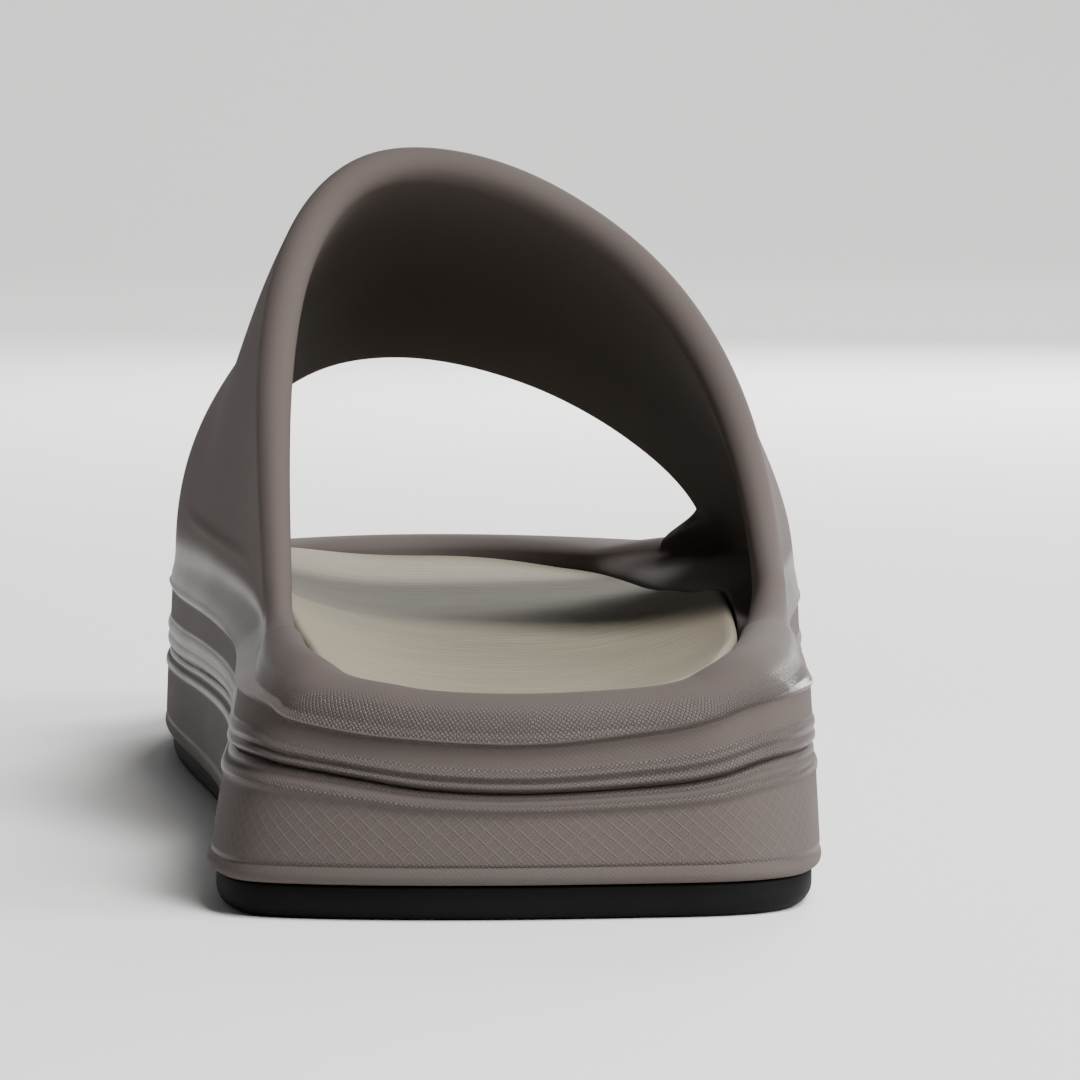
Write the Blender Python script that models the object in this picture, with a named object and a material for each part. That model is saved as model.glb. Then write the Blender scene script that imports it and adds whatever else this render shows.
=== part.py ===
"""Sport slide sandal for the right foot, in metres, +Z up, toe towards +Y.

Four solids: a rubber outsole, a moulded midsole, one hollow moulded upper
(a rim all round and a strap over the foot) and a contoured footbed.
Sections are worked out from the named sizes and the short tables below.
"""
import math
from collections import namedtuple

import bmesh
import bpy
import numpy as np

# Driving dimensions
LENGTH = 0.284
HEEL_WIDTH = 0.084
BALL_WIDTH = 0.102
HEEL_HEIGHT = 0.0298
TOE_SPRING = 0.009
INSTEP_HEIGHT = 0.0998
STRAP_WALL = 0.0055
OUTSOLE_HEIGHT = 0.0045
OUTSOLE_INSET = 0.0014
OUTSOLE_EDGE_RADIUS = 0.0022
BEAD_HEIGHT = 0.0023
RIB_DEPTH = 0.0008
PARTING_DEPTH = 0.0019
HEEL_LEAN = 0.0065
EDGE_RISE = 0.0024
FOOTBED_THICKNESS = 0.004
FOOTBED_EDGE_ROUND = 0.001
CLEARANCE = 0.0003

# Tread grooves under the outsole
GROOVE_WIDTH = 0.003
GROOVE_DEPTH = 0.0018
GROOVE_PITCH = 0.0125
GROOVE_MARGIN = 0.009
GROOVE_FIRST = 0.018
GROOVE_LAST = 0.256

# Places along the length, as shares of LENGTH: where the strap leaves the rim,
# where the width starts and stops growing from heel to ball, and where the
# footbed's underside starts and stops following its top
STRAP_REAR = 0.215
STRAP_FRONT = 0.850
WIDTH_REAR = 0.15
WIDTH_FRONT = 0.62
BED_UNDER_REAR = 0.12
BED_UNDER_FRONT = 0.90

# Columns of the lofts, for each side of the shoe, and rows over the strap
HEEL_COLUMNS = 12
STRAP_COLUMNS = 12
TOE_COLUMNS = 12
STRAP_ROWS = 30
EDGE_STEPS = 6
ROWS_ACROSS = 8
SPLINE_STEPS = 60
SOLE_EDGE_SHARES = (0.0, 0.3, 0.6, 1.0)
SHARP_ANGLE = math.radians(40.0)

# Outlines: half widths as shares of the width at that place
Outline = namedtuple("Outline", "along medial lateral")
SOLE_REAR = (0.0, 0.0)
SOLE_TOE = (1.0, 0.000)
SOLE_OUTLINE = (
    Outline(0.003, 0.200, 0.200),
    Outline(0.0125, 0.365, 0.365),
    Outline(0.028, 0.462, 0.428),
    Outline(0.052, 0.496, 0.463),
    Outline(0.130, 0.500, 0.490),
    Outline(0.280, 0.448, 0.497),
    Outline(0.430, 0.420, 0.507),
    Outline(0.580, 0.432, 0.537),
    Outline(0.700, 0.452, 0.549),
    Outline(0.820, 0.428, 0.524),
    Outline(0.920, 0.342, 0.418),
    Outline(0.975, 0.196, 0.238),
)
FOOT_REAR = (0.046, 0.012)
FOOT_TOE = (0.958, 0.010)
FOOT_OUTLINE = (
    Outline(0.051, 0.155, 0.155),
    Outline(0.063, 0.256, 0.250),
    Outline(0.083, 0.306, 0.303),
    Outline(0.113, 0.328, 0.334),
    Outline(0.162, 0.336, 0.368),
    Outline(0.229, 0.340, 0.388),
    Outline(0.300, 0.336, 0.392),
    Outline(0.370, 0.333, 0.390),
    Outline(0.450, 0.336, 0.384),
    Outline(0.528, 0.344, 0.368),
    Outline(0.669, 0.360, 0.345),
    Outline(0.790, 0.342, 0.315),
    Outline(0.880, 0.280, 0.262),
    Outline(0.937, 0.155, 0.150),
)

# Heights of the parting groove, top ridge and rim as shares of HEEL_HEIGHT,
# and of the ground line as a share of TOE_SPRING
Levels = namedtuple("Levels", "along ground parting medial_ridge lateral_ridge rim")
LEVELS = (
    Levels(0.000, 0.000, 0.552, 0.770, 0.770, 0.978),
    Levels(0.0024, 0.000, 0.573, 0.789, 0.812, 0.992),
    Levels(0.0055, 0.000, 0.606, 0.807, 0.868, 1.018),
    Levels(0.0105, 0.000, 0.640, 0.838, 0.908, 1.040),
    Levels(0.018, 0.000, 0.667, 0.876, 0.936, 1.066),
    Levels(0.030, 0.000, 0.685, 0.918, 0.956, 1.092),
    Levels(0.060, 0.000, 0.698, 0.963, 0.975, 1.132),
    Levels(0.100, 0.000, 0.697, 0.972, 0.972, 1.157),
    Levels(0.170, 0.000, 0.688, 0.970, 0.970, 1.176),
    Levels(0.215, 0.000, 0.682, 0.970, 0.970, 1.186),
    Levels(0.350, 0.000, 0.672, 0.972, 0.972, 1.230),
    Levels(0.500, 0.000, 0.650, 0.978, 0.978, 1.250),
    Levels(0.600, 0.000, 0.625, 0.972, 0.972, 1.230),
    Levels(0.720, 0.000, 0.610, 0.965, 0.965, 1.180),
    Levels(0.800, 0.060, 0.610, 0.945, 0.945, 1.140),
    Levels(0.850, 0.200, 0.615, 0.925, 0.925, 1.100),
    Levels(0.910, 0.440, 0.625, 0.890, 0.890, 1.035),
    Levels(1.000, 1.000, 0.640, 0.860, 0.860, 1.020),
)

# How far the wall leans inward up to the top ridge, and on to the rim, as
# shares of HEEL_LEAN
Lean = namedtuple("Lean", "along medial lateral medial_shoulder lateral_shoulder")
LEAN = (
    Lean(0.000, 0.800, 0.800, 0.100, 0.100),
    Lean(0.012, 0.980, 0.900, 0.120, 0.120),
    Lean(0.028, 1.060, 0.720, 0.180, 0.180),
    Lean(0.052, 0.900, 0.420, 0.260, 0.180),
    Lean(0.100, 0.680, 0.200, 0.360, 0.100),
    Lean(0.150, 0.550, 0.160, 0.460, 0.080),
    Lean(0.215, 0.420, 0.160, 0.540, 0.100),
    Lean(0.350, 0.230, 0.180, 0.450, 0.160),
    Lean(0.450, 0.150, 0.200, 0.300, 0.160),
    Lean(0.580, 0.120, 0.180, 0.160, 0.120),
    Lean(0.700, 0.160, 0.120, 0.100, 0.100),
    Lean(0.850, 0.240, 0.120, 0.120, 0.120),
    Lean(1.000, 0.400, 0.400, 0.300, 0.300),
)

# How much of the depth of the ribs and of the parting groove is left on each
# side, as shares of RIB_DEPTH and PARTING_DEPTH
Ribs = namedtuple("Ribs", "along medial lateral")
RIBS = (
    Ribs(0.000, 1.00, 1.00),
    Ribs(0.030, 0.95, 0.70),
    Ribs(0.080, 0.75, 0.42),
    Ribs(0.200, 0.60, 0.36),
    Ribs(0.600, 0.50, 0.42),
    Ribs(0.850, 0.60, 0.60),
    Ribs(1.000, 0.70, 0.70),
)

# Rounded top of the rim: its rise as a share of EDGE_RISE, and how its crest
# lies (1 is halfway across the wall, less is nearer to the foot)
Roll = namedtuple("Roll", "along rise crest")
ROLL = (
    Roll(0.000, 1.900, 0.700),
    Roll(0.050, 1.900, 0.660),
    Roll(0.100, 1.750, 0.680),
    Roll(0.150, 1.420, 0.800),
    Roll(0.215, 1.000, 1.000),
    Roll(1.000, 1.000, 1.000),
)

# Side wall of the midsole: share of the height from the top of the bead to
# the parting groove, and how far the wall stands out, in rib depths
Step = namedtuple("Step", "share out")
BEAD_STEPS = (
    Step(0.00, -1.20),
    Step(0.20, -0.30),
    Step(0.50, 0.00),
    Step(0.85, -0.20),
    Step(1.00, -0.65),
)
LOWER_WALL_STEPS = (
    Step(0.06, -0.30),
    Step(0.70, -0.15),
    Step(0.77, 0.45),
    Step(0.84, 0.35),
    Step(0.94, -0.80),
)

# Side wall of the upper: share of the height from the parting groove to the
# top ridge, then from the ridge to the rim
UPPER_WALL_STEPS = (
    Step(0.07, -1.60),
    Step(0.14, -1.00),
    Step(0.18, -0.05),
    Step(0.24, 0.10),
    Step(0.29, -0.50),
    Step(0.34, 0.30),
    Step(0.43, 0.30),
    Step(0.49, -0.50),
    Step(0.90, -0.55),
    Step(1.00, 0.50),
)
SHOULDER_STEPS = (
    Step(0.15, 0.05),
    Step(0.40, 0.00),
    Step(0.75, 0.00),
    Step(1.00, 0.00),
)

# Foot sections under the strap: height of the crown as a share of
# INSTEP_HEIGHT, its place across as a share of BALL_WIDTH, and how full the
# two sides are (2 is an ellipse, more is boxier)
Section = namedtuple("Section", "along crown across medial lateral")
SECTIONS = (
    Section(0.215, 1.130, -0.080, 2.50, 2.00),
    Section(0.350, 1.070, -0.080, 2.45, 1.90),
    Section(0.458, 1.000, -0.080, 2.32, 1.80),
    Section(0.600, 0.865, -0.082, 1.88, 1.74),
    Section(0.762, 0.695, -0.084, 2.30, 1.74),
    Section(0.850, 0.610, -0.084, 2.50, 1.76),
)

# Edges of the strap: place along the length for each share of the way over
# the foot, from the medial to the lateral side
Edge = namedtuple("Edge", "over rear front")
STRAP_EDGES = (
    Edge(0.00, 0.215, 0.850),
    Edge(0.03, 0.264, 0.838),
    Edge(0.06, 0.293, 0.827),
    Edge(0.11, 0.330, 0.810),
    Edge(0.18, 0.373, 0.790),
    Edge(0.27, 0.412, 0.773),
    Edge(0.37, 0.443, 0.763),
    Edge(0.47, 0.458, 0.760),
    Edge(0.60, 0.450, 0.766),
    Edge(0.73, 0.415, 0.782),
    Edge(0.82, 0.376, 0.799),
    Edge(0.89, 0.332, 0.817),
    Edge(0.94, 0.293, 0.831),
    Edge(0.97, 0.264, 0.840),
    Edge(1.00, 0.215, 0.850),
)

# Thickness of the strap, as a share of STRAP_WALL, for each share of the way
# over the foot
Wall = namedtuple("Wall", "over share")
WALL = (
    Wall(0.00, 0.74),
    Wall(0.25, 1.00),
    Wall(0.75, 1.00),
    Wall(1.00, 0.74),
)

# Top of the upper's wall inside: 1 where it is as thin as the strap, 0 where
# it reaches in to the footbed
Share = namedtuple("Share", "along share")
STRAP_SHARE = (
    Share(0.00, 0.0),
    Share(STRAP_REAR - 0.05, 0.0),
    Share(STRAP_REAR + 0.10, 1.0),
    Share(STRAP_FRONT - 0.06, 1.0),
    Share(STRAP_FRONT + 0.06, 0.0),
    Share(1.00, 0.0),
)

# Footbed: heights of the middle and the two edges as shares of HEEL_HEIGHT
Bed = namedtuple("Bed", "along middle medial lateral")
BED = (
    Bed(0.046, 0.925, 0.925, 0.925),
    Bed(0.052, 0.915, 0.965, 0.965),
    Bed(0.063, 0.900, 1.010, 1.010),
    Bed(0.083, 0.880, 1.045, 1.045),
    Bed(0.120, 0.855, 1.075, 1.075),
    Bed(0.160, 0.848, 1.090, 1.090),
    Bed(0.220, 0.845, 1.100, 1.100),
    Bed(0.350, 0.880, 1.140, 1.130),
    Bed(0.400, 0.890, 1.150, 1.125),
    Bed(0.460, 0.893, 1.150, 1.090),
    Bed(0.560, 0.880, 1.130, 1.000),
    Bed(0.640, 0.860, 1.100, 0.945),
    Bed(0.700, 0.850, 1.070, 0.900),
    Bed(0.750, 0.845, 1.050, 0.880),
    Bed(0.850, 0.855, 1.030, 0.870),
    Bed(0.900, 0.870, 1.000, 0.870),
    Bed(0.958, 0.905, 0.905, 0.905),
)
BED_CURL = 2.6

COLLECTION = "sport_slide_sandal"

Finish = namedtuple("Finish", "colour roughness")
FINISHES = {
    "outsole": Finish((0.012, 0.012, 0.012), 0.62),
    "midsole": Finish((0.172, 0.147, 0.144), 0.55),
    "upper": Finish((0.188, 0.162, 0.158), 0.50),
    "footbed": Finish((0.342, 0.309, 0.250), 0.80),
}


def table_value(table, column, along):
    """Smooth value of one column of a table, with no overshoot between rows."""
    places = np.array([row[0] for row in table])
    values = np.array([getattr(row, column) for row in table])
    steps = np.diff(places)
    slopes = np.diff(values) / steps
    tangents = np.zeros(len(places))
    for i in range(1, len(places) - 1):
        before = slopes[i - 1]
        after = slopes[i]
        if before * after > 0.0:
            weight_before = 2.0 * steps[i] + steps[i - 1]
            weight_after = steps[i] + 2.0 * steps[i - 1]
            total = weight_before + weight_after
            tangents[i] = total / (weight_before / before + weight_after / after)
    tangents[0] = slopes[0]
    tangents[-1] = slopes[-1]
    at = np.clip(np.asarray(along, dtype=float), places[0], places[-1])
    cell = np.clip(np.searchsorted(places, at, side="right") - 1, 0, len(steps) - 1)
    width = steps[cell]
    t = (at - places[cell]) / width
    start = (1.0 + 2.0 * t) * (1.0 - t) ** 2 * values[cell]
    leave = t * (1.0 - t) ** 2 * width * tangents[cell]
    end = t * t * (3.0 - 2.0 * t) * values[cell + 1]
    arrive = t * t * (t - 1.0) * width * tangents[cell + 1]
    return start + leave + end + arrive


def width_at(along):
    """Reference width, from HEEL_WIDTH at the heel to BALL_WIDTH at the ball."""
    t = np.clip((np.asarray(along) - WIDTH_REAR) / (WIDTH_FRONT - WIDTH_REAR), 0.0, 1.0)
    blend = t * t * (3.0 - 2.0 * t)
    return HEEL_WIDTH + (BALL_WIDTH - HEEL_WIDTH) * blend


def closed_spline(points, per_span):
    """Dense closed cubic spline through points, a fixed count to each span."""
    points = np.asarray(points)
    count = len(points)
    spans = np.linalg.norm(np.roll(points, -1, axis=0) - points, axis=1)
    system = np.zeros((count, count))
    right = np.zeros((count, points.shape[1]))
    for i in range(count):
        before = spans[i - 1]
        after = spans[i]
        system[i, i - 1] += before
        system[i, i] += 2.0 * (before + after)
        system[i, (i + 1) % count] += after
        rise = (points[(i + 1) % count] - points[i]) / after
        run = (points[i] - points[i - 1]) / before
        right[i] = 6.0 * (rise - run)
    bends = np.linalg.solve(system, right)
    dense = []
    for i in range(count):
        after = spans[i]
        start = points[i]
        end = points[(i + 1) % count]
        bend_start = bends[i]
        bend_end = bends[(i + 1) % count]
        for k in range(per_span):
            b = k / per_span
            a = 1.0 - b
            bow = (a ** 3 - a) * bend_start + (b ** 3 - b) * bend_end
            dense.append(a * start + b * end + bow * after * after / 6.0)
    return np.array(dense)


def outline_points(rear, toe, rows):
    """Control points of an outline: rear, lateral side, toe, medial side."""
    lateral = []
    medial = []
    for row in rows:
        width = float(width_at(row.along))
        lateral.append((row.lateral * width, row.along * LENGTH))
        medial.append((-row.medial * width, row.along * LENGTH))
    rear_point = (rear[1] * float(width_at(rear[0])), rear[0] * LENGTH)
    toe_point = (toe[1] * float(width_at(toe[0])), toe[0] * LENGTH)
    return [rear_point] + lateral + [toe_point] + medial[::-1]


def resample(line, shares):
    """Points of a polyline at shares of its length."""
    lengths = np.linalg.norm(np.diff(line, axis=0), axis=1)
    reach = np.concatenate(([0.0], np.cumsum(lengths)))
    at = np.asarray(shares) * reach[-1]
    return np.stack([np.interp(at, reach, line[:, i]) for i in range(line.shape[1])], axis=1)


def columns_of(dense):
    """Outline points at the columns of the lofts."""
    half = len(dense) // 2
    lateral = np.vstack((dense[:half], dense[half:half + 1]))
    medial = np.vstack((dense[half:], dense[:1]))[::-1]
    sides = []
    for side in (lateral, medial):
        rear = int(np.argmax(side[:, 1] >= STRAP_REAR * LENGTH))
        front = int(np.argmax(side[:, 1] >= STRAP_FRONT * LENGTH))
        heel = resample(side[:rear + 1], np.linspace(0.0, 1.0, HEEL_COLUMNS + 1))
        strap = resample(side[rear:front + 1], np.linspace(0.0, 1.0, STRAP_COLUMNS + 1))
        toe = resample(side[front:], np.linspace(0.0, 1.0, TOE_COLUMNS + 1))
        sides.append(np.vstack((heel, strap[1:], toe[1:])))
    return np.vstack((sides[0], sides[1][-2:0:-1]))


def closest_on(line, spots):
    """Point of a closed line that is closest to each spot."""
    runs = np.roll(line, -1, axis=0) - line
    away = spots[:, None] - line[None]
    share = np.clip((away * runs).sum(axis=2) / (runs ** 2).sum(axis=1), 0.0, 1.0)
    feet = line[None] + share[:, :, None] * runs[None]
    best = np.argmin(np.linalg.norm(feet - spots[:, None], axis=2), axis=1)
    return feet[np.arange(len(spots)), best]


def outward(ring):
    """Outward normals of a ring of points."""
    ahead = np.roll(ring, -1, axis=0) - np.roll(ring, 1, axis=0)
    ahead /= np.linalg.norm(ahead, axis=1)[:, None]
    return np.stack((ahead[:, 1], -ahead[:, 0]), axis=1)


SIDE_COLUMNS = HEEL_COLUMNS + STRAP_COLUMNS + TOE_COLUMNS
RING_COLUMNS = 2 * SIDE_COLUMNS

SOLE_LINE = closed_spline(outline_points(SOLE_REAR, SOLE_TOE, SOLE_OUTLINE), SPLINE_STEPS)
FOOT_LINE = closed_spline(outline_points(FOOT_REAR, FOOT_TOE, FOOT_OUTLINE), SPLINE_STEPS)
SOLE_RING = columns_of(SOLE_LINE)
SOLE_NORMALS = outward(SOLE_RING)
FOOT_RING = closest_on(FOOT_LINE, SOLE_RING)
FOOT_NORMALS = outward(FOOT_RING)
ALONG = SOLE_RING[:, 1] / LENGTH
LATERAL_SIDE = np.arange(RING_COLUMNS) <= SIDE_COLUMNS


def level(name, along=None):
    """Height of a named level at each column, or at given places."""
    at = ALONG if along is None else along
    share = table_value(LEVELS, name, at)
    if name == "ground":
        return share * TOE_SPRING
    return share * HEEL_HEIGHT


def ridge_height():
    """Height of the top ridge at each column."""
    return HEEL_HEIGHT * by_side(LEVELS, medial="medial_ridge", lateral="lateral_ridge")


def by_side(table, along=None, medial="medial", lateral="lateral"):
    """Value of a table at each column, from the medial or the lateral side."""
    at = ALONG if along is None else along
    return np.where(LATERAL_SIDE, table_value(table, lateral, at), table_value(table, medial, at))


def lean_amounts():
    """Inward lean of the wall at the top ridge, for each column."""
    return HEEL_LEAN * by_side(LEAN)


def shoulder_amounts():
    """Further lean from the top ridge to the rim, for each column."""
    return HEEL_LEAN * by_side(LEAN, medial="medial_shoulder", lateral="lateral_shoulder")


def leaning(height):
    """Inset of the plain wall, without ribs, at a height given per column."""
    foot = level("ground") + OUTSOLE_HEIGHT
    share = np.clip((height - foot) / (ridge_height() - foot), 0.0, None)
    return lean_amounts() * np.minimum(share, 1.0)


def ring_at(out, height):
    """Ring of points offset from the sole outline by out, at a height."""
    flat = SOLE_RING + SOLE_NORMALS * np.broadcast_to(out, RING_COLUMNS)[:, None]
    return np.column_stack((flat, np.broadcast_to(height, RING_COLUMNS)))


def foot_ring_at(out, height):
    """Ring of points offset from the foot outline by out, at a height."""
    flat = FOOT_RING + FOOT_NORMALS * np.broadcast_to(out, RING_COLUMNS)[:, None]
    return np.column_stack((flat, np.broadcast_to(height, RING_COLUMNS)))


class Skin:
    """Points and faces of one closed skin, gathered ring by ring."""

    def __init__(self):
        self.points = []
        self.faces = []

    def add(self, points):
        """Adds points and gives their numbers."""
        start = len(self.points)
        self.points.extend([tuple(map(float, point)) for point in points])
        return list(range(start, len(self.points)))

    def loft(self, lower, upper, closed=True):
        """Joins two rows of the same count with quads."""
        count = len(lower)
        last = count if closed else count - 1
        for i in range(last):
            j = (i + 1) % count
            self.faces.append((lower[i], lower[j], upper[j], upper[i]))

    def cap(self, ring, height):
        """Fills a ring across the shoe, its inner points at the given height."""
        rows = [[ring[0]]]
        for k in range(1, SIDE_COLUMNS):
            lateral = np.array(self.points[ring[k]])
            medial = np.array(self.points[ring[RING_COLUMNS - k]])
            row = [ring[RING_COLUMNS - k]]
            for i in range(1, ROWS_ACROSS):
                share = i / ROWS_ACROSS
                point = medial + (lateral - medial) * share
                point[2] = height(point[1], 2.0 * share - 1.0, medial[2], lateral[2])
                row.extend(self.add([point]))
            row.append(ring[k])
            rows.append(row)
        rows.append([ring[SIDE_COLUMNS]])
        for lower, upper in zip(rows[:-1], rows[1:]):
            if len(lower) == 1:
                for i in range(len(upper) - 1):
                    self.faces.append((lower[0], upper[i + 1], upper[i]))
            elif len(upper) == 1:
                for i in range(len(lower) - 1):
                    self.faces.append((upper[0], lower[i], lower[i + 1]))
            else:
                self.loft(lower, upper, closed=False)

    def plain_cap(self, ring):
        """Fills a ring with one strip of quads across the shoe."""
        for k in range(SIDE_COLUMNS):
            lateral = ring[k]
            lateral_next = ring[k + 1]
            medial = ring[(RING_COLUMNS - k) % RING_COLUMNS]
            medial_next = ring[RING_COLUMNS - k - 1]
            corners = [medial, lateral, lateral_next, medial_next]
            face = [c for i, c in enumerate(corners) if c not in corners[:i]]
            self.faces.append(tuple(face))


def bed_middle(along):
    """Height of the middle of the footbed's top."""
    return float(table_value(BED, "middle", along)) * HEEL_HEIGHT


def bed_under(along):
    """Height of the footbed's underside."""
    return bed_middle(min(max(along, BED_UNDER_REAR), BED_UNDER_FRONT)) - FOOTBED_THICKNESS


def bed_edges():
    """Height of the footbed's top at its edge, for each column."""
    return HEEL_HEIGHT * by_side(BED, FOOT_RING[:, 1] / LENGTH)


def build_outsole():
    """Rubber outsole: a plate with a rounded lower edge and toe spring."""
    skin = Skin()
    ground = level("ground")
    rings = []
    for share in SOLE_EDGE_SHARES:
        angle = 0.5 * math.pi * share
        out = -OUTSOLE_INSET - OUTSOLE_EDGE_RADIUS * (1.0 - math.sin(angle))
        height = ground + OUTSOLE_EDGE_RADIUS * (1.0 - math.cos(angle))
        rings.append(skin.add(ring_at(out, height)))
    rings.append(skin.add(ring_at(-OUTSOLE_INSET, ground + OUTSOLE_HEIGHT)))
    for lower, upper in zip(rings[:-1], rings[1:]):
        skin.loft(lower, upper)
    skin.plain_cap(rings[0])
    skin.plain_cap(rings[-1])
    return skin


def build_midsole():
    """Midsole: bead, lower wall and rib outside, raised core inside."""
    skin = Skin()
    bottom = level("ground") + OUTSOLE_HEIGHT + CLEARANCE
    bead_top = bottom + BEAD_HEIGHT
    top = level("parting") - CLEARANCE
    ribs = RIB_DEPTH * by_side(RIBS)
    rings = []
    for step in BEAD_STEPS:
        height = bottom + (bead_top - bottom) * step.share
        out = step.out * RIB_DEPTH - leaning(height)
        rings.append(skin.add(ring_at(out, height)))
    for step in LOWER_WALL_STEPS:
        height = bead_top + (top - bead_top) * step.share
        rings.append(skin.add(ring_at(step.out * ribs - leaning(height), height)))
    groove = PARTING_DEPTH * by_side(RIBS)
    rings.append(skin.add(ring_at(-groove - leaning(top), top)))
    rings.append(skin.add(foot_ring_at(0.0, top)))
    along = FOOT_RING[:, 1] / LENGTH
    core = np.array([bed_under(value) for value in along]) - CLEARANCE
    rings.append(skin.add(foot_ring_at(0.0, core)))
    for lower, upper in zip(rings[:-1], rings[1:]):
        skin.loft(lower, upper)
    skin.plain_cap(rings[0])
    skin.plain_cap(rings[-1])
    return skin


def build_footbed():
    """Footbed: heel cup, raised arch and a shallow curl at its edges."""
    skin = Skin()
    along = FOOT_RING[:, 1] / LENGTH
    under = np.array([bed_under(value) for value in along])
    edge = bed_edges()
    soft = FOOTBED_EDGE_ROUND * (1.0 - math.sqrt(0.5))
    rings = [
        skin.add(foot_ring_at(0.0, under)),
        skin.add(foot_ring_at(0.0, edge - FOOTBED_EDGE_ROUND)),
        skin.add(foot_ring_at(-soft, edge - soft)),
        skin.add(foot_ring_at(-FOOTBED_EDGE_ROUND, edge)),
    ]
    for lower, upper in zip(rings[:-1], rings[1:]):
        skin.loft(lower, upper)

    def height(y, across, medial, lateral):
        rim = lateral if across > 0.0 else medial
        middle = min(bed_middle(y / LENGTH), rim)
        return middle + (rim - middle) * abs(across) ** BED_CURL

    skin.plain_cap(rings[0])
    skin.cap(rings[-1], height)
    return skin


def wall_top_rings():
    """Outer and inner rings of points at the top of the upper's wall."""
    height = level("rim") - EDGE_RISE * table_value(ROLL, "rise", ALONG)
    inset = leaning(height) + shoulder_amounts()
    outer = ring_at(-inset, height)
    plain = ring_at(-inset - STRAP_WALL * WALL[0].share, height)
    foot = foot_ring_at(CLEARANCE, height)
    under_strap = table_value(STRAP_SHARE, "share", ALONG)[:, None]
    inner = plain * under_strap + foot * (1.0 - under_strap)
    short = ((foot - inner)[:, :2] * FOOT_NORMALS).sum(axis=1)
    inner[:, :2] += FOOT_NORMALS * np.clip(short, 0.0, None)[:, None]
    return outer, inner


class Vault:
    """Outer surface over the foot, from the medial rim to the lateral rim."""

    SAMPLES = 160
    SIDE_STEP = 0.004

    def __init__(self, outer):
        lateral = outer[:SIDE_COLUMNS + 1]
        medial = outer[SIDE_COLUMNS:][::-1]
        self.lateral = lateral[np.argsort(lateral[:, 1])]
        self.medial = medial[np.argsort(medial[:, 1])]
        angles = np.linspace(0.0, 0.5 * math.pi, self.SAMPLES)
        self.rising = np.sin(angles)
        self.spread = np.cos(angles)

    def section(self, y):
        """Section across the foot at y, as a dense line of points."""
        along = y / LENGTH
        crown = float(table_value(SECTIONS, "crown", along)) * INSTEP_HEIGHT
        across = float(table_value(SECTIONS, "across", along)) * BALL_WIDTH
        halves = []
        for side, name in ((self.medial, "medial"), (self.lateral, "lateral")):
            fullness = float(table_value(SECTIONS, name, along))
            base_x = float(np.interp(y, side[:, 1], side[:, 0]))
            base_z = float(np.interp(y, side[:, 1], side[:, 2]))
            x = across + (base_x - across) * self.spread ** (2.0 / fullness)
            z = base_z + (crown - base_z) * self.rising ** (2.0 / fullness)
            halves.append(np.column_stack((x, np.full(len(x), y), z)))
        return np.vstack((halves[0], halves[1][-2::-1]))

    def point(self, y, over):
        """Point at a share of the way over the foot."""
        return resample(self.section(y), [over])[0]

    def normal(self, y, over):
        """Outward normal at a share of the way over the foot."""
        low = max(over - self.SIDE_STEP, 0.0)
        high = min(over + self.SIDE_STEP, 1.0)
        line = resample(self.section(y), [low, high])
        ahead = self.point(y + 0.5 * STRAP_WALL, over)
        behind = self.point(y - 0.5 * STRAP_WALL, over)
        normal = np.cross(line[1] - line[0], ahead - behind)
        return normal / np.linalg.norm(normal)


def strap_grid(outer, inner):
    """Outer and inner points of the strap, a row for each share over the foot."""
    vault = Vault(outer)
    medial = [(RING_COLUMNS - HEEL_COLUMNS - i) % RING_COLUMNS for i in range(STRAP_COLUMNS + 1)]
    lateral = [HEEL_COLUMNS + i for i in range(STRAP_COLUMNS + 1)]
    outer_rows = [[outer[i] for i in medial]]
    inner_rows = [[inner[i] for i in medial]]
    for k in range(1, STRAP_ROWS):
        over = k / STRAP_ROWS
        wall = STRAP_WALL * float(table_value(WALL, "share", over))
        rear = float(table_value(STRAP_EDGES, "rear", over)) * LENGTH
        front = float(table_value(STRAP_EDGES, "front", over)) * LENGTH
        outer_row = []
        inner_row = []
        for i in range(STRAP_COLUMNS + 1):
            y = rear + (front - rear) * i / STRAP_COLUMNS
            point = vault.point(y, over)
            outer_row.append(point)
            inner_row.append(point - vault.normal(y, over) * wall)
        outer_rows.append(outer_row)
        inner_rows.append(inner_row)
    outer_rows.append([outer[i] for i in lateral])
    inner_rows.append([inner[i] for i in lateral])
    return medial, lateral, outer_rows, inner_rows


def round_edge(skin, outer_loop, inner_loop, columns, upward):
    """Rolled edge between two closed loops, bulging away from the wall.

    The first points of the loops stand on the rim's columns, the rest on the strap.
    """
    outer = np.array([skin.points[i] for i in outer_loop])
    inner = np.array([skin.points[i] for i in inner_loop])
    rise = np.full(len(outer), EDGE_RISE)
    rise[:len(columns)] *= table_value(ROLL, "rise", ALONG[columns])
    crest = np.ones(len(outer))
    crest[:len(columns)] = table_value(ROLL, "crest", ALONG[columns])
    middle = 0.5 * (outer + inner)
    ahead = np.roll(middle, -1, axis=0) - np.roll(middle, 1, axis=0)
    away = np.cross(ahead, outer - inner)
    away /= np.linalg.norm(away, axis=1)[:, None]
    if away[upward, 2] < 0.0:
        away = -away
    rows = [outer_loop]
    for step in range(1, EDGE_STEPS):
        angle = math.pi * step / EDGE_STEPS
        across = (0.5 - 0.5 * math.cos(angle)) ** crest[:, None]
        lift = (rise * math.sin(angle))[:, None]
        rows.append(skin.add(outer + (inner - outer) * across + away * lift))
    rows.append(inner_loop)
    for lower, upper in zip(rows[:-1], rows[1:]):
        skin.loft(lower, upper)


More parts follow.
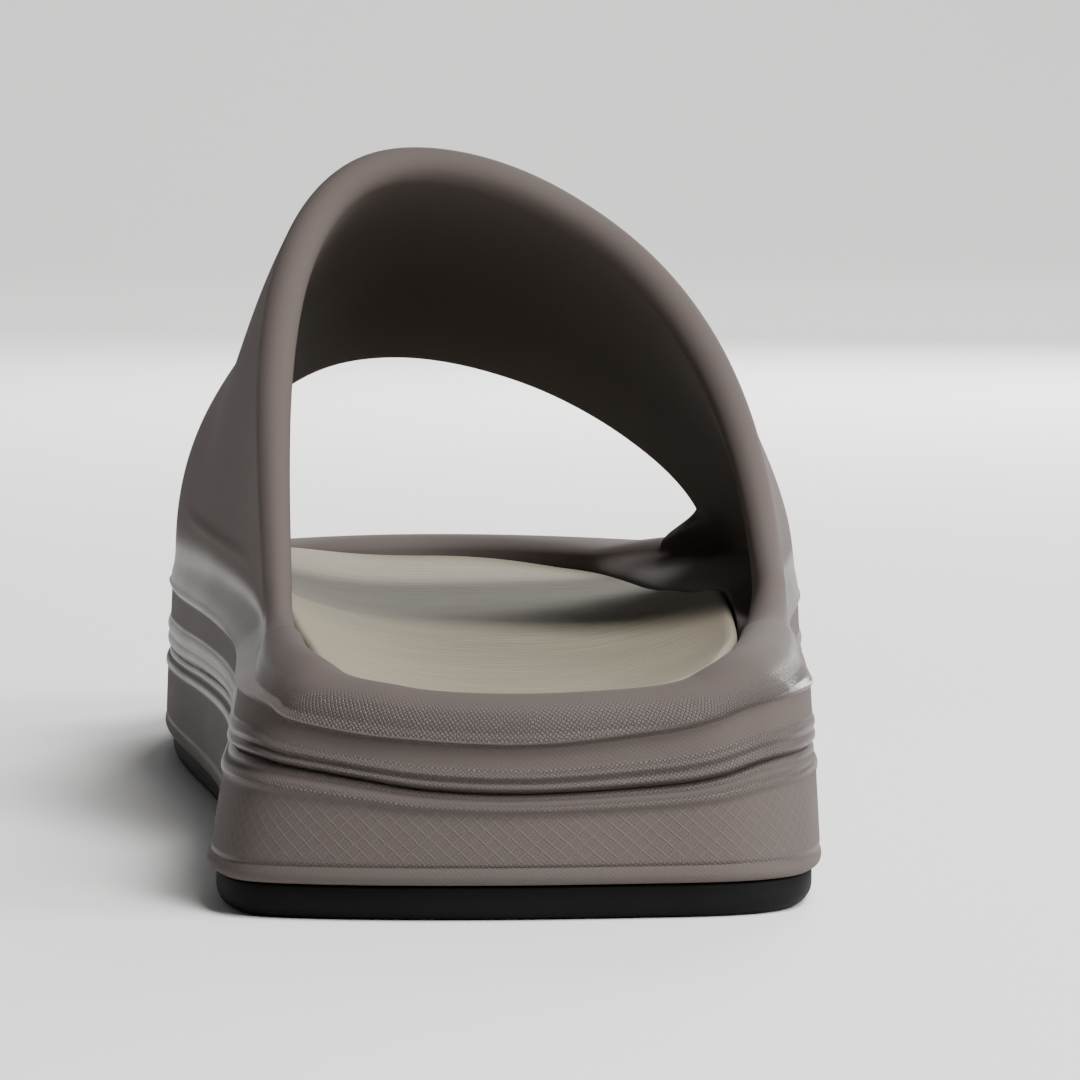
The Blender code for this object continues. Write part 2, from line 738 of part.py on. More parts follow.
def build_upper():
    """Upper: ribbed rim round the foot with the strap moulded in one with it."""
    skin = Skin()
    parting = level("parting")
    ridge = ridge_height()
    ribs = RIB_DEPTH * by_side(RIBS)
    groove = PARTING_DEPTH * by_side(RIBS)
    outer_top, inner_top = wall_top_rings()
    rings = [skin.add(ring_at(-groove - leaning(parting), parting))]
    for step in UPPER_WALL_STEPS:
        height = parting + (ridge - parting) * step.share
        rings.append(skin.add(ring_at(step.out * ribs - leaning(height), height)))
    top = outer_top[:, 2]
    for step in SHOULDER_STEPS[:-1]:
        height = ridge + (top - ridge) * step.share
        ease = step.share ** 2 * (3.0 - 2.0 * step.share)
        out = step.out * ribs - leaning(height) - shoulder_amounts() * ease
        rings.append(skin.add(ring_at(out, height)))
    outer_ring = skin.add(outer_top)
    rings.append(outer_ring)
    for lower, upper in zip(rings[:-1], rings[1:]):
        skin.loft(lower, upper)

    inner_ring = skin.add(inner_top)
    seat = np.minimum(bed_edges(), inner_top[:, 2] - CLEARANCE)
    inner_rings = [inner_ring, skin.add(foot_ring_at(CLEARANCE, seat))]
    inner_rings.append(skin.add(foot_ring_at(CLEARANCE, parting)))
    for lower, upper in zip(inner_rings[:-1], inner_rings[1:]):
        skin.loft(lower, upper)
    skin.loft(inner_rings[-1], rings[0])

    medial, lateral, outer_rows, inner_rows = strap_grid(outer_top, inner_top)
    outer_ids = [[outer_ring[i] for i in medial]]
    inner_ids = [[inner_ring[i] for i in medial]]
    for outer_row, inner_row in zip(outer_rows[1:-1], inner_rows[1:-1]):
        outer_ids.append(skin.add(outer_row))
        inner_ids.append(skin.add(inner_row))
    outer_ids.append([outer_ring[i] for i in lateral])
    inner_ids.append([inner_ring[i] for i in lateral])
    for lower, upper in zip(outer_ids[:-1], outer_ids[1:]):
        skin.loft(lower, upper, closed=False)
    for lower, upper in zip(inner_ids[:-1], inner_ids[1:]):
        skin.loft(lower, upper, closed=False)

    heel = [i % RING_COLUMNS for i in range(-HEEL_COLUMNS, HEEL_COLUMNS + 1)]
    toe = [i + SIDE_COLUMNS for i in range(-TOE_COLUMNS, TOE_COLUMNS + 1)]
    back_outer = [outer_ring[i] for i in heel] + [row[0] for row in outer_ids[-2:0:-1]]
    back_inner = [inner_ring[i] for i in heel] + [row[0] for row in inner_ids[-2:0:-1]]
    round_edge(skin, back_outer, back_inner, heel, HEEL_COLUMNS)
    front_outer = [outer_ring[i] for i in toe] + [row[-1] for row in outer_ids[1:-1]]
    front_inner = [inner_ring[i] for i in toe] + [row[-1] for row in inner_ids[1:-1]]
    round_edge(skin, front_outer, front_inner, toe, TOE_COLUMNS)
    return skin


def make_material(name):
    """Principled material of one moulded piece."""
    finish = FINISHES[name]
    material = bpy.data.materials.new(name)
    material.use_nodes = True
    shader = material.node_tree.nodes["Principled BSDF"]
    shader.inputs["Base Color"].default_value = (*finish.colour, 1.0)
    shader.inputs["Roughness"].default_value = finish.roughness
    shader.inputs["Metallic"].default_value = 0.0
    return material


def make_object(name, skin, shift, collection, parent):
    """Object of one skin, moved so that the shoe stands over the origin."""
    mesh = bpy.data.meshes.new(name)
    mesh.from_pydata([tuple(np.add(point, shift)) for point in skin.points], [], skin.faces)
    shell = bmesh.new()
    shell.from_mesh(mesh)
    bmesh.ops.recalc_face_normals(shell, faces=shell.faces)
    shell.to_mesh(mesh)
    shell.free()
    mesh.shade_smooth()
    mesh.set_sharp_from_angle(angle=SHARP_ANGLE)
    item = bpy.data.objects.new(name, mesh)
    mesh.materials.append(make_material(name))
    collection.objects.link(item)
    item.parent = parent
    return item


def groove_places():
    """Places along the length of the tread grooves."""
    count = int((GROOVE_LAST - GROOVE_FIRST) / GROOVE_PITCH) + 1
    return [GROOVE_FIRST + GROOVE_PITCH * i for i in range(count)]


def cut_tread(outsole, shift, cutters):
    """Cuts the transverse grooves between the lugs of the tread."""
    mesh = bpy.data.meshes.new("tread_grooves")
    bars = bmesh.new()
    lateral = SOLE_RING[:SIDE_COLUMNS + 1]
    medial = SOLE_RING[SIDE_COLUMNS:][::-1]
    for y in groove_places():
        high = float(np.interp(y, lateral[:, 1], lateral[:, 0])) - GROOVE_MARGIN
        low = float(np.interp(y, medial[:, 1], medial[:, 0])) + GROOVE_MARGIN
        ground = float(level("ground", y / LENGTH))
        ahead = float(level("ground", (y + GROOVE_WIDTH) / LENGTH))
        made = bmesh.ops.create_cube(bars, size=1.0)["verts"]
        size = (high - low, GROOVE_WIDTH, 2.0 * GROOVE_DEPTH)
        bmesh.ops.scale(bars, verts=made, vec=size)
        slope = (ahead - ground) / GROOVE_WIDTH
        for vert in made:
            vert.co.z += slope * vert.co.y
        middle = (0.5 * (high + low) + shift[0], y + shift[1], ground + shift[2])
        bmesh.ops.translate(bars, verts=made, vec=middle)
    bars.to_mesh(mesh)
    bars.free()
    cutter = bpy.data.objects.new("tread_grooves", mesh)
    cutter.hide_render = True
    cutter.display_type = "WIRE"
    cutters.objects.link(cutter)
    cut = outsole.modifiers.new("tread", "BOOLEAN")
    cut.operation = "DIFFERENCE"
    cut.solver = "EXACT"
    cut.object = cutter


def main():
    """Builds the four pieces of the slide."""
    for item in list(bpy.data.objects):
        bpy.data.objects.remove(item, do_unlink=True)
    collection = bpy.data.collections.new(COLLECTION)
    cutters = bpy.data.collections.new("cutters")
    bpy.context.scene.collection.children.link(collection)
    bpy.context.scene.collection.children.link(cutters)
    base = bpy.data.objects.new("slide_base", None)
    collection.objects.link(base)

    skins = {
        "outsole": build_outsole(),
        "midsole": build_midsole(),
        "upper": build_upper(),
        "footbed": build_footbed(),
    }
    points = np.vstack([np.array(skin.points) for skin in skins.values()])
    low = points.min(axis=0)
    high = points.max(axis=0)
    shift = (-0.5 * (low[0] + high[0]), -0.5 * (low[1] + high[1]), -low[2])
    items = {}
    for name, skin in skins.items():
        items[name] = make_object(name, skin, shift, collection, base)
    cut_tread(items["outsole"], shift, cutters)


main()
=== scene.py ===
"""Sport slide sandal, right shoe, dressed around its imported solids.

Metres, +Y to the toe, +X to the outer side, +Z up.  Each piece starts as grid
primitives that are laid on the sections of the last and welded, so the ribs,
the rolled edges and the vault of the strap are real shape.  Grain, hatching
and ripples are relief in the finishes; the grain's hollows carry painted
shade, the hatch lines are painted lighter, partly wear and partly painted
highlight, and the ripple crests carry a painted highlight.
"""

import logging
import math
from dataclasses import dataclass, field
from enum import Enum

import bpy
import numpy as np
from mathutils import Euler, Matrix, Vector

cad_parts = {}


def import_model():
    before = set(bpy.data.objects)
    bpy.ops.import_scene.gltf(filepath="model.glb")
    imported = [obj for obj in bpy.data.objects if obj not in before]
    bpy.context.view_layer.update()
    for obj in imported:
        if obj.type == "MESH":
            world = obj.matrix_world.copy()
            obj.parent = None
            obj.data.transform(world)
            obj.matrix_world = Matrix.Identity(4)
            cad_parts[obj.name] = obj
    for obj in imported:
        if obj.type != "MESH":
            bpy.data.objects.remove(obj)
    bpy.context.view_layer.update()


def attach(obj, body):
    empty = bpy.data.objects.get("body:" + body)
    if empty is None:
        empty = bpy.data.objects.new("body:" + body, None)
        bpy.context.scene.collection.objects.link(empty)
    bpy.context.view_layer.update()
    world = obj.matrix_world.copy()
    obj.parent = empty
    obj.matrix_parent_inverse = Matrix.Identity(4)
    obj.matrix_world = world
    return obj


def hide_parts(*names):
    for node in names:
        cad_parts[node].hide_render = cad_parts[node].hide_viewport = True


LOG = logging.getLogger("slide")

MM = 0.001
WELD = 2e-6
CREASE_ANGLE = math.radians(62.0)

# A row of a table of heights or outlines: place along the shoe, then values
Row = tuple[float, ...]
# What an input of a node takes: a node or socket to link, or a value to set
Feed = bpy.types.Node | bpy.types.NodeSocket | float | Row


class Mark(Enum):
    """Values kept on the points of a piece, which its finish reads."""

    PLACE = "place"
    GRAIN = "grain"
    HATCH = "hatch"
    MARGIN = "margin"


def smooth_value(table: tuple[Row, ...], column: int, at: np.ndarray) -> np.ndarray:
    """Reads a column of a table smoothly, with no overshoot between its rows.

    Args:
        table: Rows that start with their place.
        column: Which value of the rows to read.
        at: Places to read it at.

    Returns:
        The value at each place.
    """
    places = np.array([row[0] for row in table])
    values = np.array([row[column] for row in table])
    steps = np.diff(places)
    slopes = np.diff(values) / steps
    tangents = np.zeros(len(places))
    for i in range(1, len(places) - 1):
        before, after = slopes[i - 1], slopes[i]
        if before * after > 0.0:
            first = 2.0 * steps[i] + steps[i - 1]
            second = steps[i] + 2.0 * steps[i - 1]
            tangents[i] = (first + second) / (first / before + second / after)
    tangents[0], tangents[-1] = slopes[0], slopes[-1]
    at = np.clip(np.asarray(at, dtype=float), places[0], places[-1])
    cell = np.clip(np.searchsorted(places, at, side="right") - 1, 0, len(steps) - 1)
    width = steps[cell]
    t = (at - places[cell]) / width
    start = (1.0 + 2.0 * t) * (1.0 - t) ** 2 * values[cell]
    leave = t * (1.0 - t) ** 2 * width * tangents[cell]
    end = t * t * (3.0 - 2.0 * t) * values[cell + 1]
    arrive = t * t * (t - 1.0) * width * tangents[cell + 1]
    return start + leave + end + arrive


def soft_step(low: float, high: float, value: np.ndarray) -> np.ndarray:
    """Rises smoothly from 0 at low to 1 at high."""
    t = np.clip((np.asarray(value) - low) / (high - low), 0.0, 1.0)
    return t * t * (3.0 - 2.0 * t)


def closed_spline(points: np.ndarray, per_span: int) -> np.ndarray:
    """Draws a closed cubic spline through points.

    Args:
        points: The points that it passes, in order.
        per_span: How many points to give for each span.

    Returns:
        The dense closed line.
    """
    count = len(points)
    spans = np.linalg.norm(np.roll(points, -1, axis=0) - points, axis=1)
    system = np.zeros((count, count))
    right = np.zeros_like(points)
    for i in range(count):
        before, after = spans[i - 1], spans[i]
        following = (i + 1) % count
        system[i, i - 1] += before
        system[i, i] += 2.0 * (before + after)
        system[i, following] += after
        right[i] = 6.0 * ((points[following] - points[i]) / after
                          - (points[i] - points[i - 1]) / before)
    bends = np.linalg.solve(system, right)
    b = np.arange(per_span)[:, None] / per_span
    a = 1.0 - b
    dense = []
    for i in range(count):
        following = (i + 1) % count
        bow = (a ** 3 - a) * bends[i] + (b ** 3 - b) * bends[following]
        dense.append(a * points[i] + b * points[following] + bow * spans[i] ** 2 / 6.0)
    return np.vstack(dense)


def resample(line: np.ndarray, shares: np.ndarray) -> np.ndarray:
    """Gives the points of a line at shares of its length.

    Args:
        line: Points of the line.
        shares: Shares of its length.

    Returns:
        One point for each share.
    """
    reach = np.concatenate(([0.0], np.cumsum(np.linalg.norm(np.diff(line, axis=0), axis=1))))
    at = np.asarray(shares) * reach[-1]
    return np.stack([np.interp(at, reach, line[:, i]) for i in range(line.shape[1])], axis=1)


def closest_on(line: np.ndarray, spots: np.ndarray) -> np.ndarray:
    """Finds the point of a closed line that is closest to each spot.

    Args:
        line: Points of the line.
        spots: The spots.

    Returns:
        One point of the line for each spot.
    """
    runs = np.roll(line, -1, axis=0) - line
    away = spots[:, None] - line[None]
    share = np.clip((away * runs).sum(axis=2) / (runs ** 2).sum(axis=1), 0.0, 1.0)
    feet = line[None] + share[:, :, None] * runs[None]
    best = np.argmin(np.linalg.norm(feet - spots[:, None], axis=2), axis=1)
    return feet[np.arange(len(spots)), best]


def even_out(rows: np.ndarray, rounds: int) -> np.ndarray:
    """Smooths rows of points along their first axis, with both ends held.

    Args:
        rows: The points.
        rounds: How many times to smooth them.

    Returns:
        The smoothed points.
    """
    rows = rows.copy()
    for _ in range(rounds):
        rows[1:-1] = 0.25 * rows[:-2] + 0.5 * rows[1:-1] + 0.25 * rows[2:]
    return rows


def window(rise: Row, fall: Row, value: np.ndarray | float) -> np.ndarray:
    """Is 1 between a rise and a fall, with soft ends, and 0 outside."""
    return soft_step(*rise, value) * (1.0 - soft_step(*fall, value))


def pick(*items: bpy.types.Object) -> None:
    """Selects items alone and makes the first one active.

    Args:
        items: What to select.
    """
    bpy.ops.object.select_all(action="DESELECT")
    for item in items:
        item.select_set(True)
    bpy.context.view_layer.objects.active = items[0]


def coat(item: bpy.types.Object, finish: bpy.types.Material) -> None:
    """Gives a piece its one finish."""
    item.data.materials.clear()
    item.data.materials.append(finish)


@dataclass
class Last:
    """Sizes of the shoe and the outlines, levels and leans worked out from them."""

    length: float = 0.284
    heel_width: float = 0.084
    ball_width: float = 0.102
    heel_height: float = 0.0298
    toe_spring: float = 0.009
    instep_height: float = 0.0998
    outsole_height: float = 0.0045
    rib_depth: float = 0.0008
    heel_lean: float = 0.0065
    strap_rear: float = 0.215
    strap_front: float = 0.850
    width_rear: float = 0.15
    width_front: float = 0.62
    stand: tuple[float, float, float] = (-0.004969, -0.142049, 0.0)
    heel_columns: int = 72
    strap_columns: int = 70
    toe_columns: int = 50
    spline_steps: int = 240

    # Half widths, medial then lateral, as shares of the width at that place
    sole_rear: Row = (0.0, 0.0)
    sole_toe: Row = (1.0, 0.0)
    sole_table: tuple[Row, ...] = (
        (0.003, 0.200, 0.200), (0.0125, 0.365, 0.365), (0.028, 0.462, 0.428), (0.052, 0.496, 0.463),
        (0.130, 0.500, 0.490), (0.280, 0.448, 0.497), (0.430, 0.420, 0.507), (0.580, 0.432, 0.537),
        (0.700, 0.452, 0.549), (0.820, 0.428, 0.524), (0.920, 0.342, 0.418), (0.975, 0.196, 0.238),
    )
    foot_rear: Row = (0.046, 0.012)
    foot_toe: Row = (0.958, 0.010)
    foot_table: tuple[Row, ...] = (
        (0.051, 0.155, 0.155), (0.063, 0.256, 0.250), (0.083, 0.306, 0.303), (0.113, 0.328, 0.334),
        (0.162, 0.336, 0.368), (0.229, 0.340, 0.388), (0.300, 0.336, 0.392), (0.370, 0.333, 0.390),
        (0.450, 0.336, 0.384), (0.528, 0.344, 0.368), (0.669, 0.360, 0.345), (0.790, 0.342, 0.315),
        (0.880, 0.280, 0.262), (0.937, 0.155, 0.150),
    )
    # Ground, parting groove, top ridge on each side and rim, as shares of the
    # toe spring or of the heel's height
    level_table: tuple[Row, ...] = (
        (0.000, 0.000, 0.552, 0.770, 0.770, 0.978), (0.0024, 0.000, 0.573, 0.789, 0.812, 0.992),
        (0.0055, 0.000, 0.606, 0.807, 0.868, 1.018), (0.0105, 0.000, 0.640, 0.838, 0.908, 1.040),
        (0.018, 0.000, 0.667, 0.876, 0.936, 1.066), (0.030, 0.000, 0.685, 0.918, 0.956, 1.092),
        (0.060, 0.000, 0.698, 0.963, 0.975, 1.132), (0.100, 0.000, 0.697, 0.972, 0.972, 1.157),
        (0.170, 0.000, 0.688, 0.970, 0.970, 1.176), (0.215, 0.000, 0.682, 0.970, 0.970, 1.186),
        (0.350, 0.000, 0.672, 0.972, 0.972, 1.230), (0.500, 0.000, 0.650, 0.978, 0.978, 1.250),
        (0.600, 0.000, 0.625, 0.972, 0.972, 1.230), (0.720, 0.000, 0.610, 0.965, 0.965, 1.180),
        (0.800, 0.060, 0.610, 0.945, 0.945, 1.140), (0.850, 0.200, 0.615, 0.925, 0.925, 1.100),
        (0.910, 0.440, 0.625, 0.890, 0.890, 1.035), (1.000, 1.000, 0.640, 0.860, 0.860, 1.020),
    )
    # Inward lean, medial and lateral, then on to the rim, as shares of the heel's
    lean_table: tuple[Row, ...] = (
        (0.000, 0.800, 0.800, 0.100, 0.100), (0.012, 0.980, 0.900, 0.120, 0.120),
        (0.028, 1.060, 0.720, 0.180, 0.180), (0.052, 0.900, 0.420, 0.260, 0.180),
        (0.100, 0.680, 0.200, 0.360, 0.100), (0.150, 0.550, 0.160, 0.460, 0.080),
        (0.215, 0.420, 0.160, 0.540, 0.100), (0.350, 0.230, 0.180, 0.450, 0.160),
        (0.450, 0.150, 0.200, 0.300, 0.160), (0.580, 0.120, 0.180, 0.160, 0.120),
        (0.700, 0.160, 0.120, 0.100, 0.100), (0.850, 0.240, 0.120, 0.120, 0.120),
        (1.000, 0.400, 0.400, 0.300, 0.300),
    )
    # How much of the ribs' depth is left on each side
    rib_table: tuple[Row, ...] = (
        (0.000, 1.00, 1.00), (0.030, 0.95, 0.70), (0.080, 0.75, 0.42), (0.200, 0.60, 0.36),
        (0.600, 0.50, 0.42), (0.850, 0.60, 0.60), (1.000, 0.70, 0.70),
    )

    sole: np.ndarray = field(init=False)
    sole_out: np.ndarray = field(init=False)
    foot: np.ndarray = field(init=False)
    foot_out: np.ndarray = field(init=False)
    along: np.ndarray = field(init=False)
    reach: np.ndarray = field(init=False)
    lateral: np.ndarray = field(init=False)

    def __post_init__(self) -> None:
        """Works out the rings of the sole and of the foot."""
        self.sole = self.columns_of(self.outline(self.sole_rear, self.sole_toe, self.sole_table))
        self.sole_out = self.outward(self.sole)
        self.foot = closest_on(
            self.outline(self.foot_rear, self.foot_toe, self.foot_table), self.sole)
        self.foot_out = self.outward(self.foot)
        self.along = self.sole[:, 1] / self.length
        self.lateral = np.arange(self.columns) <= self.side_columns
        half = np.linalg.norm(np.diff(self.sole, axis=0, append=self.sole[:1]), axis=1)
        round_way = np.concatenate(([0.0], np.cumsum(half[:-1])))
        self.reach = np.where(self.lateral, round_way, half.sum() - round_way)

    @property
    def side_columns(self) -> int:
        """Columns from the heel to the toe on one side."""
        return self.heel_columns + self.strap_columns + self.toe_columns

    @property
    def columns(self) -> int:
        """Columns right round the shoe."""
        return 2 * self.side_columns

    @property
    def strap_span(self) -> slice:
        """Columns of one side that lie under the strap."""
        return slice(self.heel_columns, self.heel_columns + self.strap_columns + 1)

    def halves(self, ring: np.ndarray) -> tuple[np.ndarray, np.ndarray]:
        """Medial and lateral half of a ring, both from the heel to the toe."""
        sides = self.side_columns
        return np.vstack((ring[:1], ring[:sides - 1:-1])), ring[:sides + 1]

    def width_at(self, along: float) -> float:
        """Width that the outlines are shares of, at a place along the shoe."""
        blend = float(soft_step(self.width_rear, self.width_front, np.array(along)))
        return self.heel_width + (self.ball_width - self.heel_width) * blend

    def outline(self, rear: Row, toe: Row, table: tuple[Row, ...]) -> np.ndarray:
        """Draws an outline as a dense closed line.

        Args:
            rear: Place and share of the rearmost point.
            toe: Place and share of the foremost point.
            table: Half widths on the way.

        Returns:
            Its points, from the heel along the lateral side and back.
        """
        def spot(along: float, share: float) -> tuple[float, float]:
            """Point of the outline at a place and a share of the width."""
            return share * self.width_at(along), along * self.length

        points = [spot(*rear)] + [spot(row[0], row[2]) for row in table]
        points += [spot(*toe)] + [spot(row[0], -row[1]) for row in table[::-1]]
        return closed_spline(np.array(points), self.spline_steps)

    def columns_of(self, dense: np.ndarray) -> np.ndarray:
        """Divides a dense outline into the columns of the pieces.

        Args:
            dense: Points of the outline.

        Returns:
            One point for each column, right round.
        """
        half = len(dense) // 2
        sides = []
        for line in (dense[:half + 1], np.vstack((dense[half:], dense[:1]))[::-1]):
            first = int(np.argmax(line[:, 1] >= self.strap_rear * self.length))
            last = int(np.argmax(line[:, 1] >= self.strap_front * self.length))
            parts = (
                resample(line[:first + 1], np.linspace(0.0, 1.0, self.heel_columns + 1)),
                resample(line[first:last + 1], np.linspace(0.0, 1.0, self.strap_columns + 1))[1:],
                resample(line[last:], np.linspace(0.0, 1.0, self.toe_columns + 1))[1:],
            )
            sides.append(np.vstack(parts))
        return np.vstack((sides[0], sides[1][-2:0:-1]))

    def outward(self, ring: np.ndarray) -> np.ndarray:
        """Gives the directions outward from a ring of points.

        Args:
            ring: The points.

        Returns:
            One unit direction for each.
        """
        ahead = np.roll(ring, -2, axis=0) - np.roll(ring, 2, axis=0)
        ahead /= np.linalg.norm(ahead, axis=1)[:, None]
        return np.stack((ahead[:, 1], -ahead[:, 0]), axis=1)

    def by_side(self, table: tuple[Row, ...], medial: int = 1, lateral: int = 2) -> np.ndarray:
        """Value of a table at each column, from its medial or its lateral side."""
        inner = smooth_value(table, medial, self.along)
        return np.where(self.lateral, smooth_value(table, lateral, self.along), inner)

    def ground(self, along: np.ndarray | None = None) -> np.ndarray:
        """Height of the ground line."""
        along = self.along if along is None else along
        return smooth_value(self.level_table, 1, along) * self.toe_spring

    @property
    def parting(self) -> np.ndarray:
        """Height of the parting groove."""
        return smooth_value(self.level_table, 2, self.along) * self.heel_height

    @property
    def ridge(self) -> np.ndarray:
        """Height of the top ridge."""
        return self.by_side(self.level_table, 3, 4) * self.heel_height

    @property
    def rim(self) -> np.ndarray:
        """Height of the rim."""
        return smooth_value(self.level_table, 5, self.along) * self.heel_height

    @property
    def ribs(self) -> np.ndarray:
        """Depth of the ribs at each column."""
        return self.by_side(self.rib_table) * self.rib_depth

    def leaning(self, height: np.ndarray) -> np.ndarray:
        """Inset of the plain wall, without ribs, at a height for each column.

        Args:
            height: The heights.

        Returns:
            How far the wall lies inward.
        """
        foot = self.ground() + self.outsole_height
        share = np.clip((height - foot) / (self.ridge - foot), 0.0, 1.0)
        return self.heel_lean * self.by_side(self.lean_table) * share

    def shoulder(self) -> np.ndarray:
        """Further lean from the top ridge to the rim."""
        return self.heel_lean * self.by_side(self.lean_table, 3, 4)

    def places(self, points: np.ndarray) -> np.ndarray:
        """Place marks of rows of points: how far round they are, and how far up."""
        round_way = np.broadcast_to(self.reach, points.shape[:2])
        return np.stack((round_way, up_the_wall(points)), axis=2)

    def sole_ring(self, out: np.ndarray | float, height: np.ndarray) -> np.ndarray:
        """Ring offset outward from the sole's outline, at a height."""
        flat = self.sole + self.sole_out * np.broadcast_to(out, self.columns)[:, None]
        return np.column_stack((flat, np.broadcast_to(height, self.columns)))

    def foot_ring(self, out: float, height: np.ndarray) -> np.ndarray:
        """Ring offset outward from the foot's outline, at a height."""
        flat = self.foot + self.foot_out * out
        return np.column_stack((flat, np.broadcast_to(height, self.columns)))


@dataclass
class Sheet:
    """Rows of points, with the marks that the finish reads on them."""

    points: np.ndarray
    place: np.ndarray | None = None
    grain: np.ndarray | float = 0.0
    hatch: np.ndarray | float = 0.0
    margin: np.ndarray | float = 1.0
    closed: bool = True

    def lay(self, name: str, stand: tuple[float, float, float]) -> bpy.types.Object:
        """Adds a grid primitive and lays it on the rows.

        Args:
            name: Name of the object.
            stand: Move from the last's own origin to the shoe's.

        Returns:
            The laid object.
        """
        points = self.points + np.array(stand)
        shape = points.shape[:2]
        place = np.zeros((*shape, 2)) if self.place is None else self.place
        place = np.concatenate((place, np.zeros((*shape, 1))), axis=2)
        plain = {Mark.GRAIN: self.grain, Mark.HATCH: self.hatch, Mark.MARGIN: self.margin}
        marks = {Mark.PLACE: place}
        for mark, value in plain.items():
            marks[mark] = np.broadcast_to(value, shape)
        if self.closed:
            points = np.concatenate((points, points[:, :1]), axis=1)
            marks = {mark: np.concatenate((v, v[:, :1]), axis=1) for mark, v in marks.items()}
        rows, columns = points.shape[:2]
        bpy.ops.object.select_all(action="DESELECT")
        bpy.ops.mesh.primitive_grid_add(
            x_subdivisions=columns - 1, y_subdivisions=rows - 1, calc_uvs=False)
        item = bpy.context.object
        item.name = name
        mesh = item.data
        if len(mesh.vertices) != rows * columns:
            raise ValueError(f"{name}: {len(mesh.vertices)} points, not {rows * columns}")
        mesh.vertices.foreach_set("co", points.astype(np.float32).ravel())
        for mark, value in marks.items():
            kind, key = ("FLOAT_VECTOR", "vector") if mark is Mark.PLACE else ("FLOAT", "value")
            layer = mesh.attributes.new(mark.value, kind, "POINT")
            layer.data.foreach_set(key, np.ascontiguousarray(value, dtype=np.float32).ravel())
        mesh.update()
        return item


def weld(name: str, parts: list[bpy.types.Object]) -> bpy.types.Object:
    """Joins laid sheets, closes the seams between them and faces them outward.

    Args:
        name: Name of the joined piece.
        parts: The sheets, which meet edge to edge.

    Returns:
        The welded, smooth piece.
    """
    pick(*parts)
    if len(parts) > 1:
        bpy.ops.object.join()
    item = bpy.context.object
    item.name = name
    item.data.name = name
    bpy.ops.object.mode_set(mode="EDIT")
    bpy.ops.mesh.select_all(action="SELECT")
    bpy.ops.mesh.remove_doubles(threshold=WELD)
    bpy.ops.mesh.select_all(action="SELECT")
    bpy.ops.mesh.normals_make_consistent(inside=False)
    bpy.ops.object.mode_set(mode="OBJECT")
    bpy.ops.object.shade_smooth_by_angle(angle=CREASE_ANGLE)
    return item


def up_the_wall(points: np.ndarray, start: np.ndarray | float = 0.0) -> np.ndarray:
    """Distance up each column of rows of points, from a start."""
    steps = np.linalg.norm(np.diff(points, axis=0), axis=2)
    return np.vstack((np.zeros(points.shape[1]), np.cumsum(steps, axis=0))) + start


def cap_of(last: Last, ring: np.ndarray, across: int = 1) -> Sheet:
    """Fills a ring with rows that run from the medial to the lateral side.

    Args:
        last: The last, whose columns the ring has.
        ring: The ring.
        across: How many rows of faces.

    Returns:
        The sheet that fills it.
    """
    medial, lateral = last.halves(ring)
    share = np.linspace(0.0, 1.0, across + 1)[:, None, None]
    return Sheet(medial[None] * (1.0 - share) + lateral[None] * share, closed=False)


def linear(code: str) -> tuple[float, float, float, float]:
    """Turns an sRGB hex colour into linear values.

    Args:
        code: The colour, such as "#857e6e".

    Returns:
        Red, green, blue and full opacity.
    """
    parts = [int(code[i:i + 2], 16) / 255.0 for i in (1, 3, 5)]
    lin = [v / 12.92 if v <= 0.04045 else ((v + 0.055) / 1.055) ** 2.4 for v in parts]
    return (*lin, 1.0)


def fill(tree: bpy.types.NodeTree, node: bpy.types.Node, settings: dict) -> None:
    """Sets a node's values and links.

    Args:
        tree: Node tree of the material.
        node: The node to fill.
        settings: Values by property name, or by input name or number. A node
            in place of a value links its first output, and a socket links itself.
    """
    for key, value in settings.items():
        if isinstance(value, bpy.types.Node):
            value = value.outputs[0]
        if isinstance(value, bpy.types.NodeSocket):
            tree.links.new(value, node.inputs[key])
        elif isinstance(key, str) and hasattr(node, key):
            setattr(node, key, value)
        else:
            node.inputs[key].default_value = value


def add_node(tree: bpy.types.NodeTree, kind: str, settings: dict | None = None) -> bpy.types.Node:
    """Adds a node.

    Args:
        tree: Node tree of the material.
        kind: Type of the node.
        settings: What fill gives it.

    Returns:
        The new node.
    """
    node = tree.nodes.new(kind)
    fill(tree, node, settings or {})
    return node


def blank(name: str) -> tuple[bpy.types.Material, bpy.types.NodeTree, bpy.types.Node]:
    """Starts a material.

    Args:
        name: Name of the material.

    Returns:
        The material, its tree and its shader.
    """
    material = bpy.data.materials.new(name)
    material.use_nodes = True
    tree = material.node_tree
    return material, tree, tree.nodes["Principled BSDF"]


def ramp(tree: bpy.types.NodeTree, value: bpy.types.Node, start: Row, end: Row = (0.0, 1.0),
         smooth: bool = False) -> bpy.types.Node:
    """Maps a value from one range to another, held at both ends.

    Args:
        tree: Node tree of the material.
        value: Node that gives the value.
        start: The range it has.
        end: The range it gets.
        smooth: Whether it eases in and out.

    Returns:
        The mapping node.
    """
    return add_node(tree, "ShaderNodeMapRange", {
        "interpolation_type": "SMOOTHSTEP" if smooth else "LINEAR", "Value": value,
        "From Min": start[0], "From Max": start[1], "To Min": end[0], "To Max": end[1]})


def maths(tree: bpy.types.NodeTree, operation: str, *values: Feed) -> bpy.types.Node:
    """Works a value out from one or more others.

    Args:
        tree: Node tree of the material.
        operation: Name of the operation.
        values: What it takes, in order.

    Returns:
        The maths node.
    """
    return add_node(tree, "ShaderNodeMath", {"operation": operation, **dict(enumerate(values))})


